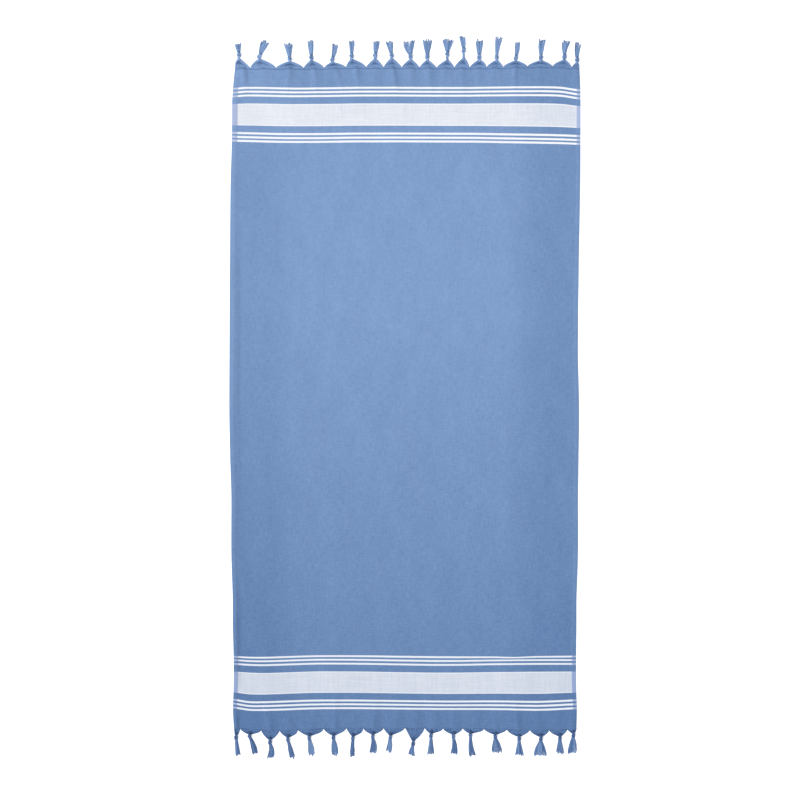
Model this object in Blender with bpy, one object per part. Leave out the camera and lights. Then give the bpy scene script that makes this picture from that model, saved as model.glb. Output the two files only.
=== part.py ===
"""A hammam towel that lies flat: one striped cotton sheet whose warp ends are knotted into tassels.

Metres, +Z up. The towel lies on the floor, z = 0, with its length along Y and its width along X. The origin is on
the floor under its middle. The far end is at +Y and the near end at -Y.
"""

import bisect
import math
import random
from collections import namedtuple

import bmesh
import bpy
from mathutils import Vector

# ---- sheet ----------------------------------------------------------------------------------------------------
FAR_HEM_Y = 0.8564  # where the woven cloth ends at the far end
NEAR_HEM_Y = -0.8622
CLOTH_THICKNESS = 0.0014
LEAST_THICKNESS = 0.0010
HEM_RISE = 0.0007  # the side hems are folded over twice
HEM_WIDTH = 0.0115
HEM_EDGE_ROUND = 0.0004
PIECE_GAP = 0.0003  # kept between neighbouring solids

# Columns and rows of the sheet's grid, close together at its edges: distances in from the edge.
HEM_INSETS = (0.0, 0.0030, 0.0085, 0.0115, 0.0150)
END_INSETS = (0.0, 0.006, 0.016, 0.032, 0.056, 0.088)
INNER_COLUMNS = 38
INNER_ROWS = 26

# Where the long edges run, from the near end to the far end.
SideRow = namedtuple("SideRow", "y left right")
SIDES = (
    SideRow(-0.862, -0.4433, 0.4472),
    SideRow(-0.819, -0.4459, 0.4480),
    SideRow(-0.762, -0.4446, 0.4463),
    SideRow(-0.689, -0.4441, 0.4459),
    SideRow(-0.595, -0.4462, 0.4469),
    SideRow(-0.528, -0.4464, 0.4472),
    SideRow(-0.408, -0.4501, 0.4508),
    SideRow(-0.252, -0.4503, 0.4508),
    SideRow(-0.159, -0.4532, 0.4521),
    SideRow(-0.034, -0.4555, 0.4537),
    SideRow(0.122, -0.4550, 0.4508),
    SideRow(0.372, -0.4537, 0.4534),
    SideRow(0.538, -0.4524, 0.4563),
    SideRow(0.668, -0.4488, 0.4571),
    SideRow(0.772, -0.4480, 0.4571),
    SideRow(0.824, -0.4443, 0.4563),
    SideRow(0.856, -0.4407, 0.4550),
)

# How far each hem line strays outward from its straight course, from left to right.
HemRow = namedtuple("HemRow", "x out")
FAR_HEM_LINE = (
    HemRow(-0.440, -0.0010),
    HemRow(-0.330, -0.0012),
    HemRow(-0.235, -0.0018),
    HemRow(-0.150, 0.0004),
    HemRow(0.210, 0.0),
    HemRow(0.320, 0.0026),
    HemRow(0.385, 0.0026),
    HemRow(0.455, -0.0006),
)
NEAR_HEM_LINE = (
    HemRow(-0.443, -0.0020),
    HemRow(-0.373, 0.0036),
    HemRow(-0.325, 0.0048),
    HemRow(-0.277, 0.0026),
    HemRow(-0.200, -0.0010),
    HemRow(0.150, -0.0012),
    HemRow(0.266, 0.0022),
    HemRow(0.376, 0.0038),
    HemRow(0.447, 0.0012),
)

# Soft ridges, and with a height below zero troughs, that storing and handling have left in the cloth.
CREASE_FADE = 0.7  # under 1, a crease keeps its height for most of its length
Crease = namedtuple("Crease", "x_start y_start x_end y_end width height")
CREASES = (
    Crease(-0.272, -0.880, -0.268, 0.880, 0.026, 0.00055),
    Crease(-0.355, -0.700, -0.350, 0.780, 0.034, -0.00030),
    Crease(0.270, -0.880, 0.280, 0.880, 0.026, 0.00050),
    Crease(0.335, -0.860, 0.330, 0.860, 0.030, -0.00035),
    Crease(0.005, -0.860, -0.010, 0.860, 0.040, 0.00030),
    Crease(-0.436, -0.780, -0.440, -0.430, 0.013, 0.00080),
    Crease(-0.420, -0.730, -0.424, -0.470, 0.012, -0.00040),
    Crease(0.200, -0.690, 0.400, -0.640, 0.016, 0.00060),
    Crease(-0.220, -0.640, -0.090, -0.620, 0.022, 0.00040),
    Crease(0.180, 0.720, 0.225, 0.880, 0.016, 0.00055),
    Crease(0.285, 0.715, 0.325, 0.880, 0.018, 0.00055),
    Crease(-0.400, 0.730, -0.345, 0.880, 0.018, 0.00045),
)

# ---- tassels --------------------------------------------------------------------------------------------------
WEB_STEPS = 4
WEB_PLEAT = 0.0006  # how far every second strip of a web stands above the others, halfway out
NECK_WIDTH = 0.0086
LOCK_FILL = 0.82  # the part of its share of the brush that a lock fills
LOCK_TOP_TAPER = 0.72  # width of a lock's upper side over that of its underside
LOCK_TIP_HEIGHT = 0.0013
LOCK_THINNING = 0.8  # under 1, a lock loses its height soon after its root
LOCK_STEPS = 3
LOCKS_AT_LEAST = 3
WIDTH_PER_LOCK = 0.0048
RAGGED = 0.10  # the most by which a lock falls short, over the brush's length

# Sections from the neck of the web through the knot to the root of the brush. Along is measured from the middle of
# the knot, turn is the share of the brush's lean, and edge and crown are the heights at the rim and in the middle.
KnotRow = namedtuple("KnotRow", "along turn width edge crown")
KNOT = (
    KnotRow(-0.0048, 0.0, 0.0072, 0.0016, 0.0034),
    KnotRow(-0.0028, 0.2, 0.0098, 0.0026, 0.0058),
    KnotRow(0.0, 0.5, 0.0112, 0.0030, 0.0068),
    KnotRow(0.0028, 0.8, 0.0094, 0.0026, 0.0056),
    KnotRow(0.0050, 1.0, 0.0066, 0.0018, 0.0036),
)

# One row for each tassel, from left to right. Notch is where its web ends on the right, and left and right say how
# roundly each side of the web draws in, where 1 is straight. Out is measured from the hem line, and neck is the
# gathered stretch between web and knot. Fan is the brush's width at its tip, bow how far it bends to the right on
# its way, and fork the gap that splits its tip.
Tassel = namedtuple("Tassel", "notch left right neck knot_x knot_out tip_x tip_out fan bow fork")
FAR_TASSELS = (
    Tassel(-0.4004, 3.00, 0.95, 0.0040, -0.4300, 0.0315, -0.4337, 0.0650, 0.015, 0.000, 0.000),
    Tassel(-0.3346, 1.50, 1.40, 0.0015, -0.3773, 0.0283, -0.3598, 0.0705, 0.019, -0.001, 0.000),
    Tassel(-0.2629, 1.30, 1.50, 0.0015, -0.2987, 0.0224, -0.3019, 0.0658, 0.021, 0.000, 0.001),
    Tassel(-0.2096, 1.20, 1.50, 0.0015, -0.2421, 0.0244, -0.2449, 0.0731, 0.013, 0.000, 0.000),
    Tassel(-0.1526, 1.30, 1.60, 0.0015, -0.1877, 0.0200, -0.1807, 0.0634, 0.012, 0.002, 0.000),
    Tassel(-0.1004, 1.20, 1.50, 0.0020, -0.1375, 0.0283, -0.1373, 0.0718, 0.014, 0.000, 0.001),
    Tassel(-0.0549, 1.10, 1.15, 0.0020, -0.0764, 0.0291, -0.0718, 0.0702, 0.014, 0.000, 0.000),
    Tassel(-0.0075, 1.15, 1.15, 0.0020, -0.0333, 0.0302, -0.0398, 0.0702, 0.017, 0.000, 0.000),
    Tassel(0.0385, 1.20, 1.20, 0.0020, 0.0156, 0.0276, 0.0127, 0.0731, 0.024, -0.002, 0.002),
    Tassel(0.0832, 1.10, 1.10, 0.0030, 0.0590, 0.0268, 0.0598, 0.0749, 0.021, 0.000, 0.000),
    Tassel(0.1295, 1.15, 1.20, 0.0085, 0.1113, 0.0328, 0.1131, 0.0757, 0.028, 0.000, 0.003),
    Tassel(0.1687, 1.20, 1.50, 0.0150, 0.1537, 0.0439, 0.1490, 0.0829, 0.013, 0.001, 0.000),
    Tassel(0.2124, 1.20, 2.20, 0.0015, 0.1940, 0.0260, 0.1950, 0.0757, 0.017, 0.000, 0.000),
    Tassel(0.2566, 1.30, 1.30, 0.0020, 0.2392, 0.0255, 0.2465, 0.0814, 0.016, -0.001, 0.000),
    Tassel(0.3193, 1.50, 1.50, 0.0015, 0.2891, 0.0239, 0.2930, 0.0694, 0.011, 0.002, 0.000),
    Tassel(0.3848, 1.50, 1.50, 0.0015, 0.3541, 0.0247, 0.3588, 0.0757, 0.015, -0.001, 0.001),
    Tassel(0.4342, 1.50, 1.40, 0.0020, 0.4152, 0.0268, 0.4215, 0.0718, 0.019, -0.002, 0.000),
    Tassel(0.4550, 1.30, 3.00, 0.0015, 0.4482, 0.0187, 0.4519, 0.0679, 0.013, -0.001, 0.000),
)
NEAR_TASSELS = (
    Tassel(-0.4272, 1.50, 1.60, 0.0015, -0.4376, 0.0229, -0.4313, 0.0720, 0.011, -0.001, 0.000),
    Tassel(-0.3726, 1.40, 2.10, 0.0015, -0.4025, 0.0198, -0.3877, 0.0676, 0.012, 0.002, 0.000),
    Tassel(-0.3250, 1.30, 1.40, 0.0020, -0.3494, 0.0348, -0.3507, 0.0796, 0.014, 0.005, 0.000),
    Tassel(-0.2772, 1.30, 2.20, 0.0015, -0.3032, 0.0273, -0.2899, 0.0803, 0.013, 0.000, 0.000),
    Tassel(-0.2106, 1.30, 2.00, 0.0015, -0.2478, 0.0237, -0.2415, 0.0725, 0.012, 0.001, 0.000),
    Tassel(-0.1511, 1.40, 1.50, 0.0015, -0.1849, 0.0229, -0.1807, 0.0720, 0.014, 0.001, 0.000),
    Tassel(-0.1076, 1.10, 2.40, 0.0015, -0.1342, 0.0244, -0.1347, 0.0759, 0.010, -0.001, 0.000),
    Tassel(-0.0549, 1.40, 1.70, 0.0015, -0.0827, 0.0198, -0.0845, 0.0660, 0.016, 0.004, 0.000),
    Tassel(0.0008, 1.10, 1.50, 0.0015, -0.0369, 0.0218, -0.0421, 0.0632, 0.012, 0.001, 0.000),
    Tassel(0.0523, 1.70, 1.30, 0.0040, 0.0224, 0.0393, 0.0179, 0.0712, 0.015, -0.001, 0.000),
    Tassel(0.0996, 1.10, 2.20, 0.0015, 0.0686, 0.0169, 0.0684, 0.0699, 0.017, 0.000, 0.003),
    Tassel(0.1511, 1.50, 1.70, 0.0015, 0.1269, 0.0198, 0.1274, 0.0692, 0.016, 0.003, 0.000),
    Tassel(0.2064, 1.30, 2.20, 0.0015, 0.1711, 0.0172, 0.1778, 0.0738, 0.016, -0.002, 0.003),
    Tassel(0.2662, 1.40, 1.50, 0.0015, 0.2356, 0.0203, 0.2395, 0.0658, 0.021, 0.001, 0.000),
    Tassel(0.3263, 1.50, 1.30, 0.0020, 0.2977, 0.0263, 0.2985, 0.0725, 0.020, 0.000, 0.000),
    Tassel(0.3760, 1.50, 1.50, 0.0015, 0.3541, 0.0263, 0.3528, 0.0738, 0.028, 0.000, 0.002),
    Tassel(0.4230, 1.50, 1.50, 0.0015, 0.4035, 0.0247, 0.4043, 0.0681, 0.016, 0.000, 0.000),
    Tassel(0.4472, 1.00, 1.60, 0.0015, 0.4386, 0.0174, 0.4345, 0.0681, 0.018, 0.001, 0.000),
)

# Outward is +1 where the tassels point to +Y and -1 where they point to -Y.
End = namedtuple("End", "label hem_y outward hem_line tassels")
ENDS = (
    End("far", FAR_HEM_Y, 1.0, FAR_HEM_LINE, FAR_TASSELS),
    End("near", NEAR_HEM_Y, -1.0, NEAR_HEM_LINE, NEAR_TASSELS),
)

# ---- finishes -------------------------------------------------------------------------------------------------
CLOTH_COLOUR = (0.19, 0.31, 0.56, 1.0)
TASSEL_COLOUR = (0.16, 0.28, 0.52, 1.0)
COTTON_ROUGHNESS = 0.92


# ---- shared helpers -------------------------------------------------------------------------------------------
def clear_scene():
    for obj in list(bpy.data.objects):
        bpy.data.objects.remove(obj, do_unlink=True)


def between(low, high, share):
    return low + (high - low) * share


def arch(share):
    """Rises from 0 at share 0 to 1 halfway, and back to 0 at share 1."""
    return 4.0 * share * (1.0 - share)


def smooth_curve(points, at):
    """Reads the smooth curve through (station, value) points at one station, and holds its ends beyond them."""
    stations = [point[0] for point in points]
    at = min(max(at, stations[0]), stations[-1])
    k = min(bisect.bisect_right(stations, at) - 1, len(points) - 2)
    span = stations[k + 1] - stations[k]

    def slope(i):
        low, high = max(i - 1, 0), min(i + 1, len(points) - 1)
        return (points[high][1] - points[low][1]) / (stations[high] - stations[low])

    t = (at - stations[k]) / span
    start = points[k][1] * (2 * t**3 - 3 * t**2 + 1) + slope(k) * span * (t**3 - 2 * t**2 + t)
    end = points[k + 1][1] * (3 * t**2 - 2 * t**3) + slope(k + 1) * span * (t**3 - t**2)
    return start + end


def cotton(name, colour):
    material = bpy.data.materials.new(name)
    material.use_nodes = True
    shader = material.node_tree.nodes["Principled BSDF"]
    shader.inputs["Base Color"].default_value = colour
    shader.inputs["Roughness"].default_value = COTTON_ROUGHNESS
    shader.inputs["Metallic"].default_value = 0.0
    material.diffuse_color = colour
    return material


def add_object(name, bm, material, collection):
    """Makes a named object of a finished mesh, with its faces pointing out."""
    bmesh.ops.recalc_face_normals(bm, faces=bm.faces)
    mesh = bpy.data.meshes.new(name)
    bm.to_mesh(mesh)
    bm.free()
    mesh.materials.append(material)
    obj = bpy.data.objects.new(name, mesh)
    collection.objects.link(obj)
    return obj


# ---- sheet ----------------------------------------------------------------------------------------------------
def side_edges(y):
    left = smooth_curve([(row.y, row.left) for row in SIDES], y)
    right = smooth_curve([(row.y, row.right) for row in SIDES], y)
    return left, right


def spread(index, insets, inner, low, high):
    """Place of a grid line: close to both edges at the insets, and evenly between them."""
    last = len(insets) - 1
    from_end = 2 * last + inner - index
    if index <= last:
        return low + insets[index]
    if from_end <= last:
        return high - insets[from_end]
    return between(low + insets[last], high - insets[last], (index - last) / inner)


def crease_height(x, y, crease):
    """Height of one soft crease at a point: round across its line, and fading out towards both of its ends."""
    along_x, along_y = crease.x_end - crease.x_start, crease.y_end - crease.y_start
    length = math.hypot(along_x, along_y)
    share = ((x - crease.x_start) * along_x + (y - crease.y_start) * along_y) / length**2
    if not 0.0 < share < 1.0:
        return 0.0
    across = ((x - crease.x_start) * along_y - (y - crease.y_start) * along_x) / length
    fade = math.sin(math.pi * share) ** CREASE_FADE
    return crease.height * fade * math.exp(-((across / crease.width) ** 2))


def hem_height(inset):
    """Extra height of a side hem, at a distance in from the long edge."""
    if inset >= HEM_WIDTH:
        return 0.0
    return HEM_RISE - HEM_EDGE_ROUND * (1.0 - min(inset / HEM_INSETS[1], 1.0))


def cloth_height(x, y, left, right):
    creases = sum(crease_height(x, y, crease) for crease in CREASES)
    height = CLOTH_THICKNESS + creases + hem_height(min(x - left, right - x))
    return max(height, LEAST_THICKNESS)


def make_cloth(material, collection):
    """The woven sheet: a grid laid out between its edges and hem lines, thickened down to the floor."""
    columns = 2 * (len(HEM_INSETS) - 1) + INNER_COLUMNS
    rows = 2 * (len(END_INSETS) - 1) + INNER_ROWS
    bm = bmesh.new()
    bmesh.ops.create_grid(bm, x_segments=columns, y_segments=rows, size=0.5)
    for vert in bm.verts:
        column = round((vert.co.x + 0.5) * columns)
        row = round((vert.co.y + 0.5) * rows)
        y_straight = spread(row, END_INSETS, INNER_ROWS, NEAR_HEM_Y, FAR_HEM_Y)
        left, right = side_edges(y_straight)
        x = spread(column, HEM_INSETS, INNER_COLUMNS, left, right)
        far_share = (y_straight - NEAR_HEM_Y) / (FAR_HEM_Y - NEAR_HEM_Y)
        near_out, far_out = smooth_curve(NEAR_HEM_LINE, x), smooth_curve(FAR_HEM_LINE, x)
        y = y_straight + between(-near_out, far_out, far_share)
        vert.co = (x, y, cloth_height(x, y, left, right))
    top = list(bm.faces)
    underside = bmesh.ops.extrude_face_region(bm, geom=top, use_keep_orig=True)["geom"]
    for vert in (part for part in underside if isinstance(part, bmesh.types.BMVert)):
        vert.co.z = 0.0
    return add_object("cloth", bm, material, collection)


# ---- tassels --------------------------------------------------------------------------------------------------
def lock_count(fan):
    return round(LOCKS_AT_LEAST + fan / WIDTH_PER_LOCK)


def ring(bm, feet, heights):
    """One cross section: a row of points on the floor and a row above them."""
    low = [bm.verts.new((x, y, 0.0)) for x, y in feet]
    high = [bm.verts.new((x, y, z)) for (x, y), z in zip(feet, heights)]
    return low, high


def join_rings(bm, first, second):
    """Skins the stretch between two cross sections with as many points each."""
    last = len(first[0]) - 1
    for j in range(last):
        bm.faces.new((first[1][j], first[1][j + 1], second[1][j + 1], second[1][j]))
        bm.faces.new((first[0][j], second[0][j], second[0][j + 1], first[0][j + 1]))
    for j in (0, last):
        bm.faces.new((first[0][j], first[1][j], second[1][j], second[0][j]))


def crown_heights(strips, edge, crown):
    """Heights across a rounded section, from one rim over the crown to the other."""
    sides = [2.0 * j / strips - 1.0 for j in range(strips + 1)]
    return [between(edge, crown, math.sqrt(1.0 - side * side)) for side in sides]


def web_rings(bm, tassel, left_notch, end, strips):
    """Sections of the gathered and pleated warp, from the hem line to the neck that it is drawn in to."""
    cord = KNOT[0]
    root_low, root_high = left_notch + PIECE_GAP / 2, tassel.notch - PIECE_GAP / 2
    neck_low, neck_high = tassel.knot_x - NECK_WIDTH / 2, tassel.knot_x + NECK_WIDTH / 2
    neck_out = tassel.knot_out + cord.along - tassel.neck
    for k in range(WEB_STEPS + 1):
        rise = k / WEB_STEPS
        low = between(root_low, neck_low, rise**tassel.left)
        high = between(root_high, neck_high, rise**tassel.right)
        edge = between(CLOTH_THICKNESS, cord.edge, rise)
        crown = between(CLOTH_THICKNESS, cord.crown, rise**2)
        heights = crown_heights(strips, edge, crown)
        feet = []
        for j in range(strips + 1):
            root_out = smooth_curve(end.hem_line, between(root_low, root_high, j / strips)) + PIECE_GAP
            out = between(root_out, neck_out, rise)
            feet.append((between(low, high, j / strips), end.hem_y + end.outward * out))
            heights[j] += WEB_PLEAT * (j % 2) * arch(rise)
        yield ring(bm, feet, heights)


def knot_rings(bm, tassel, end, strips):
    """Sections of the knot, which turn from the web's course to the brush's lean."""
    lean = math.atan2(tassel.tip_x - tassel.knot_x, tassel.tip_out - tassel.knot_out)
    for row in KNOT:
        turn = lean * row.turn
        middle_x = tassel.knot_x + row.along * math.sin(turn)
        middle_out = tassel.knot_out + row.along * math.cos(turn)
        feet = []
        for j in range(strips + 1):
            side = (j / strips - 0.5) * row.width
            x = middle_x + side * math.cos(turn)
            out = middle_out - side * math.sin(turn)
            feet.append((x, end.hem_y + end.outward * out))
        yield ring(bm, feet, crown_heights(strips, row.edge, row.crown))


def add_lock(bm, root, tip, bow, tip_width):
    """A four-sided lock that leaves the brush's root face and lies level on the floor, thinning to its tip.

    The root's points run from left to right, and so do those of each section after it.
    """
    (root_left, root_right), (high_left, high_right) = root
    start = (root_left.co + root_right.co) / 2
    root_width = (root_right.co - root_left.co).length * LOCK_FILL
    root_height = (high_left.co.z + high_right.co.z) / 2
    along = (tip - start).normalized()
    side = Vector((along.y, -along.x, 0.0))
    if side.dot(root_right.co - root_left.co) < 0.0:
        side.negate()
    section = root
    for k in range(1, LOCK_STEPS + 1):
        share = k / LOCK_STEPS
        foot = start.lerp(tip, share) + side * bow * arch(share)
        half = between(root_width, tip_width, share) / 2
        rise = Vector((0.0, 0.0, between(root_height, LOCK_TIP_HEIGHT, share**LOCK_THINNING)))
        low = [bm.verts.new(foot + side * half * way) for way in (-1, 1)]
        high = [bm.verts.new(foot + rise + side * half * LOCK_TOP_TAPER * way) for way in (-1, 1)]
        join_rings(bm, section, (low, high))
        section = (low, high)
    close_end(bm, section)


def close_end(bm, section):
    low, high = section
    bm.faces.new(low + high[::-1])


def add_brush(bm, tassel, root, end, chance):
    """The loose warp ends past the knot, in locks that stand apart from their roots on."""
    low, high = root
    locks = len(low) - 1
    reach_x, reach_out = tassel.tip_x - tassel.knot_x, tassel.tip_out - tassel.knot_out
    lean = math.atan2(reach_x, reach_out)
    length = math.hypot(reach_x, reach_out)
    pitch = (tassel.fan - tassel.fork) / locks
    longest = chance.randrange(locks)
    for j in range(locks):
        across = (j + 0.5 - locks / 2) * pitch
        across += math.copysign(tassel.fork / 2, across)
        short = 0.0 if j == longest else chance.uniform(0.0, RAGGED) * length
        x = tassel.tip_x + across * math.cos(lean) - short * math.sin(lean)
        out = tassel.tip_out - across * math.sin(lean) - short * math.cos(lean)
        tip = Vector((x, end.hem_y + end.outward * out, 0.0))
        add_lock(bm, (low[j : j + 2], high[j : j + 2]), tip, tassel.bow, pitch * LOCK_FILL)


def make_tassel(name, tassel, left_notch, end, chance, material, collection):
    """One tassel: its web, its knot and its brush of locks, in one solid."""
    strips = lock_count(tassel.fan)
    bm = bmesh.new()
    rings = list(web_rings(bm, tassel, left_notch, end, strips))
    rings += list(knot_rings(bm, tassel, end, strips))
    close_end(bm, rings[0])
    for first, second in zip(rings, rings[1:]):
        join_rings(bm, first, second)
    add_brush(bm, tassel, rings[-1], end, chance)
    return add_object(name, bm, material, collection)


def make_tassel_row(end, material, collection):
    left_notch = side_edges(end.hem_y)[0]
    for number, tassel in enumerate(end.tassels, start=1):
        name = f"{end.label}_tassel_{number:02d}"
        make_tassel(name, tassel, left_notch, end, random.Random(number), material, collection)
        left_notch = tassel.notch


def main():
    clear_scene()
    towel = bpy.data.collections.new("hammam_towel")
    bpy.context.scene.collection.children.link(towel)
    make_cloth(cotton("woven_cotton", CLOTH_COLOUR), towel)
    yarn = cotton("knotted_warp", TASSEL_COLOUR)
    for end in ENDS:
        make_tassel_row(end, yarn, towel)


main()
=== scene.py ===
"""Dresses the hammam towel: the striped woven sheet with its hems, and the knotted tassels of its warp ends.

Metres, +Z up, in the frame of the CAD model: length along Y, width along X, the floor at z = 0. Far is +Y.
The sheet and the tassels lie where the model's solids lie, so the tables of the outline are the same as
there, but for the web of near tassel 10, which draws in more closely.
"""

import math
import random
from collections import namedtuple

import bpy
import numpy as np
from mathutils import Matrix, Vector


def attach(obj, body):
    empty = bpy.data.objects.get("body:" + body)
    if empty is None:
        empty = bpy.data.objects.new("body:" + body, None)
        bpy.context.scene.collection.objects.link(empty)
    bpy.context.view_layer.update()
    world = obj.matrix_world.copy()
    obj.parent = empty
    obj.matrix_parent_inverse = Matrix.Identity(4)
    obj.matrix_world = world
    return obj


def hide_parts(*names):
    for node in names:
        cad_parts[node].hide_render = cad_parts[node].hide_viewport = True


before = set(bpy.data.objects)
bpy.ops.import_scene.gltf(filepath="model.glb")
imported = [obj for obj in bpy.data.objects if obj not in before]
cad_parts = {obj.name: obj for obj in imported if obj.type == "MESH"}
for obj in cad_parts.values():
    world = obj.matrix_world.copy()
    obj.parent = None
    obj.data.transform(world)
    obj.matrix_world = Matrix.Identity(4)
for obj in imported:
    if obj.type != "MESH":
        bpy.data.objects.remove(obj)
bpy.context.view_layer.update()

# ---- outline, as in the solids -------------------
FAR_HEM_Y = 0.8564
NEAR_HEM_Y = -0.8622
WOVEN_LENGTH = FAR_HEM_Y - NEAR_HEM_Y
WOVEN_WIDTH = 0.905
CLOTH_THICKNESS = 0.0014
LEAST_THICKNESS = 0.0009

# The long edges: y, and x of the left and of the right one. Tables like this one are read by curves().
SIDES = (
    (-0.862, -0.4433, 0.4472),
    (-0.819, -0.4459, 0.4480),
    (-0.762, -0.4446, 0.4463),
    (-0.689, -0.4441, 0.4459),
    (-0.595, -0.4462, 0.4469),
    (-0.528, -0.4464, 0.4472),
    (-0.408, -0.4501, 0.4508),
    (-0.252, -0.4503, 0.4508),
    (-0.159, -0.4532, 0.4521),
    (-0.034, -0.4555, 0.4537),
    (0.122, -0.4550, 0.4508),
    (0.372, -0.4537, 0.4534),
    (0.538, -0.4524, 0.4563),
    (0.668, -0.4488, 0.4571),
    (0.772, -0.4480, 0.4571),
    (0.824, -0.4443, 0.4563),
    (0.856, -0.4407, 0.4550),
)

# The hem lines: x, and how far outward of its usual y the line lies there.
FAR_HEM_LINE = (
    (-0.440, -0.0010), (-0.330, -0.0012), (-0.235, -0.0018), (-0.150, 0.0004),
    (0.210, 0.0), (0.320, 0.0026), (0.385, 0.0026), (0.455, -0.0006),
)
NEAR_HEM_LINE = (
    (-0.443, -0.0020), (-0.373, 0.0036), (-0.325, 0.0048), (-0.277, 0.0026), (-0.200, -0.0010),
    (0.150, -0.0012), (0.266, 0.0022), (0.376, 0.0038), (0.447, 0.0012),
)

# Notch is where a web ends on the right, and left and right say how roundly its sides draw in. Out is
# measured from the hem line. Fan is the brush's width at its tip, bow its bend, fork the split of its tip,
# and belly how much wider it is halfway.
Tassel = namedtuple("Tassel", "notch left right neck knot_x knot_out tip_x tip_out fan bow fork belly")
FAR_TASSELS = [Tassel(*row) for row in (
    (-0.4004, 3.00, 0.95, 0.0040, -0.4300, 0.0315, -0.4337, 0.0650, 0.015, 0.0, 0.0, 0.0),
    (-0.3346, 1.50, 1.40, 0.0015, -0.3773, 0.0283, -0.3598, 0.0705, 0.019, -0.001, 0.0, 0.001),
    (-0.2629, 1.30, 1.50, 0.0015, -0.2987, 0.0224, -0.3019, 0.0658, 0.021, 0.0, 0.001, 0.0),
    (-0.2096, 1.20, 1.50, 0.0015, -0.2421, 0.0244, -0.2449, 0.0731, 0.013, 0.0, 0.0, 0.001),
    (-0.1526, 1.30, 1.60, 0.0015, -0.1877, 0.0200, -0.1807, 0.0634, 0.012, 0.002, 0.0, 0.001),
    (-0.1004, 1.20, 1.50, 0.0020, -0.1375, 0.0283, -0.1373, 0.0718, 0.014, 0.0, 0.001, 0.0),
    (-0.0549, 1.10, 1.15, 0.0020, -0.0764, 0.0291, -0.0718, 0.0702, 0.014, 0.0, 0.0, 0.001),
    (-0.0075, 1.15, 1.15, 0.0020, -0.0333, 0.0302, -0.0398, 0.0702, 0.017, 0.0, 0.0, 0.0),
    (0.0385, 1.20, 1.20, 0.0020, 0.0156, 0.0276, 0.0127, 0.0731, 0.024, -0.002, 0.002, 0.003),
    (0.0832, 1.10, 1.10, 0.0030, 0.0590, 0.0268, 0.0598, 0.0749, 0.021, 0.0, 0.0, 0.001),
    (0.1295, 1.15, 1.20, 0.0085, 0.1113, 0.0328, 0.1131, 0.0757, 0.028, 0.0, 0.003, 0.0),
    (0.1687, 1.20, 1.50, 0.0150, 0.1537, 0.0439, 0.1490, 0.0829, 0.013, 0.001, 0.0, 0.001),
    (0.2124, 1.20, 2.20, 0.0015, 0.1940, 0.0260, 0.1950, 0.0757, 0.017, 0.0, 0.0, 0.001),
    (0.2566, 1.30, 1.30, 0.0020, 0.2392, 0.0255, 0.2465, 0.0814, 0.016, -0.001, 0.0, 0.0),
    (0.3193, 1.50, 1.50, 0.0015, 0.2891, 0.0239, 0.2930, 0.0694, 0.011, 0.002, 0.0, 0.001),
    (0.3848, 1.50, 1.50, 0.0015, 0.3541, 0.0247, 0.3588, 0.0757, 0.015, -0.001, 0.001, 0.001),
    (0.4342, 1.50, 1.40, 0.0020, 0.4152, 0.0268, 0.4215, 0.0718, 0.019, -0.002, 0.0, 0.0),
    (0.4550, 1.30, 3.00, 0.0015, 0.4482, 0.0187, 0.4519, 0.0679, 0.013, -0.001, 0.0, 0.001),
)]
NEAR_TASSELS = [Tassel(*row) for row in (
    (-0.4272, 1.50, 1.60, 0.0015, -0.4376, 0.0229, -0.4313, 0.0720, 0.011, -0.001, 0.0, 0.0),
    (-0.3726, 1.40, 2.10, 0.0015, -0.4025, 0.0198, -0.3877, 0.0676, 0.012, 0.002, 0.0, 0.001),
    (-0.3250, 1.30, 1.40, 0.0020, -0.3494, 0.0348, -0.3507, 0.0796, 0.014, 0.005, 0.0, 0.001),
    (-0.2772, 1.30, 2.20, 0.0015, -0.3032, 0.0273, -0.2899, 0.0803, 0.013, 0.0, 0.0, 0.0),
    (-0.2106, 1.30, 2.00, 0.0015, -0.2478, 0.0237, -0.2415, 0.0725, 0.012, 0.001, 0.0, 0.002),
    (-0.1511, 1.40, 1.50, 0.0015, -0.1849, 0.0229, -0.1807, 0.0720, 0.014, 0.001, 0.0, 0.002),
    (-0.1076, 1.10, 2.40, 0.0015, -0.1342, 0.0244, -0.1347, 0.0759, 0.010, -0.001, 0.0, 0.0),
    (-0.0549, 1.40, 1.70, 0.0015, -0.0827, 0.0198, -0.0845, 0.0660, 0.016, 0.004, 0.0, 0.001),
    (0.0008, 1.10, 1.50, 0.0015, -0.0369, 0.0218, -0.0421, 0.0632, 0.012, 0.001, 0.0, 0.001),
    (0.0523, 0.75, 1.30, 0.0040, 0.0224, 0.0393, 0.0179, 0.0712, 0.015, -0.001, 0.0, 0.0),
    (0.0996, 1.10, 2.20, 0.0015, 0.0686, 0.0169, 0.0684, 0.0699, 0.017, 0.0, 0.003, 0.0),
    (0.1511, 1.50, 1.70, 0.0015, 0.1269, 0.0198, 0.1274, 0.0692, 0.016, 0.003, 0.0, 0.0),
    (0.2064, 1.30, 2.20, 0.0015, 0.1711, 0.0172, 0.1778, 0.0738, 0.016, -0.002, 0.003, 0.0),
    (0.2662, 1.40, 1.50, 0.0015, 0.2356, 0.0203, 0.2395, 0.0658, 0.021, 0.001, 0.0, 0.003),
    (0.3263, 1.50, 1.30, 0.0020, 0.2977, 0.0263, 0.2985, 0.0725, 0.020, 0.0, 0.0, 0.0),
    (0.3760, 1.50, 1.50, 0.0015, 0.3541, 0.0263, 0.3528, 0.0738, 0.028, 0.0, 0.002, 0.003),
    (0.4230, 1.50, 1.50, 0.0015, 0.4035, 0.0247, 0.4043, 0.0681, 0.016, 0.0, 0.0, 0.001),
    (0.4472, 1.00, 1.60, 0.0015, 0.4386, 0.0174, 0.4345, 0.0681, 0.018, 0.001, 0.0, 0.003),
)]

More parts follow.
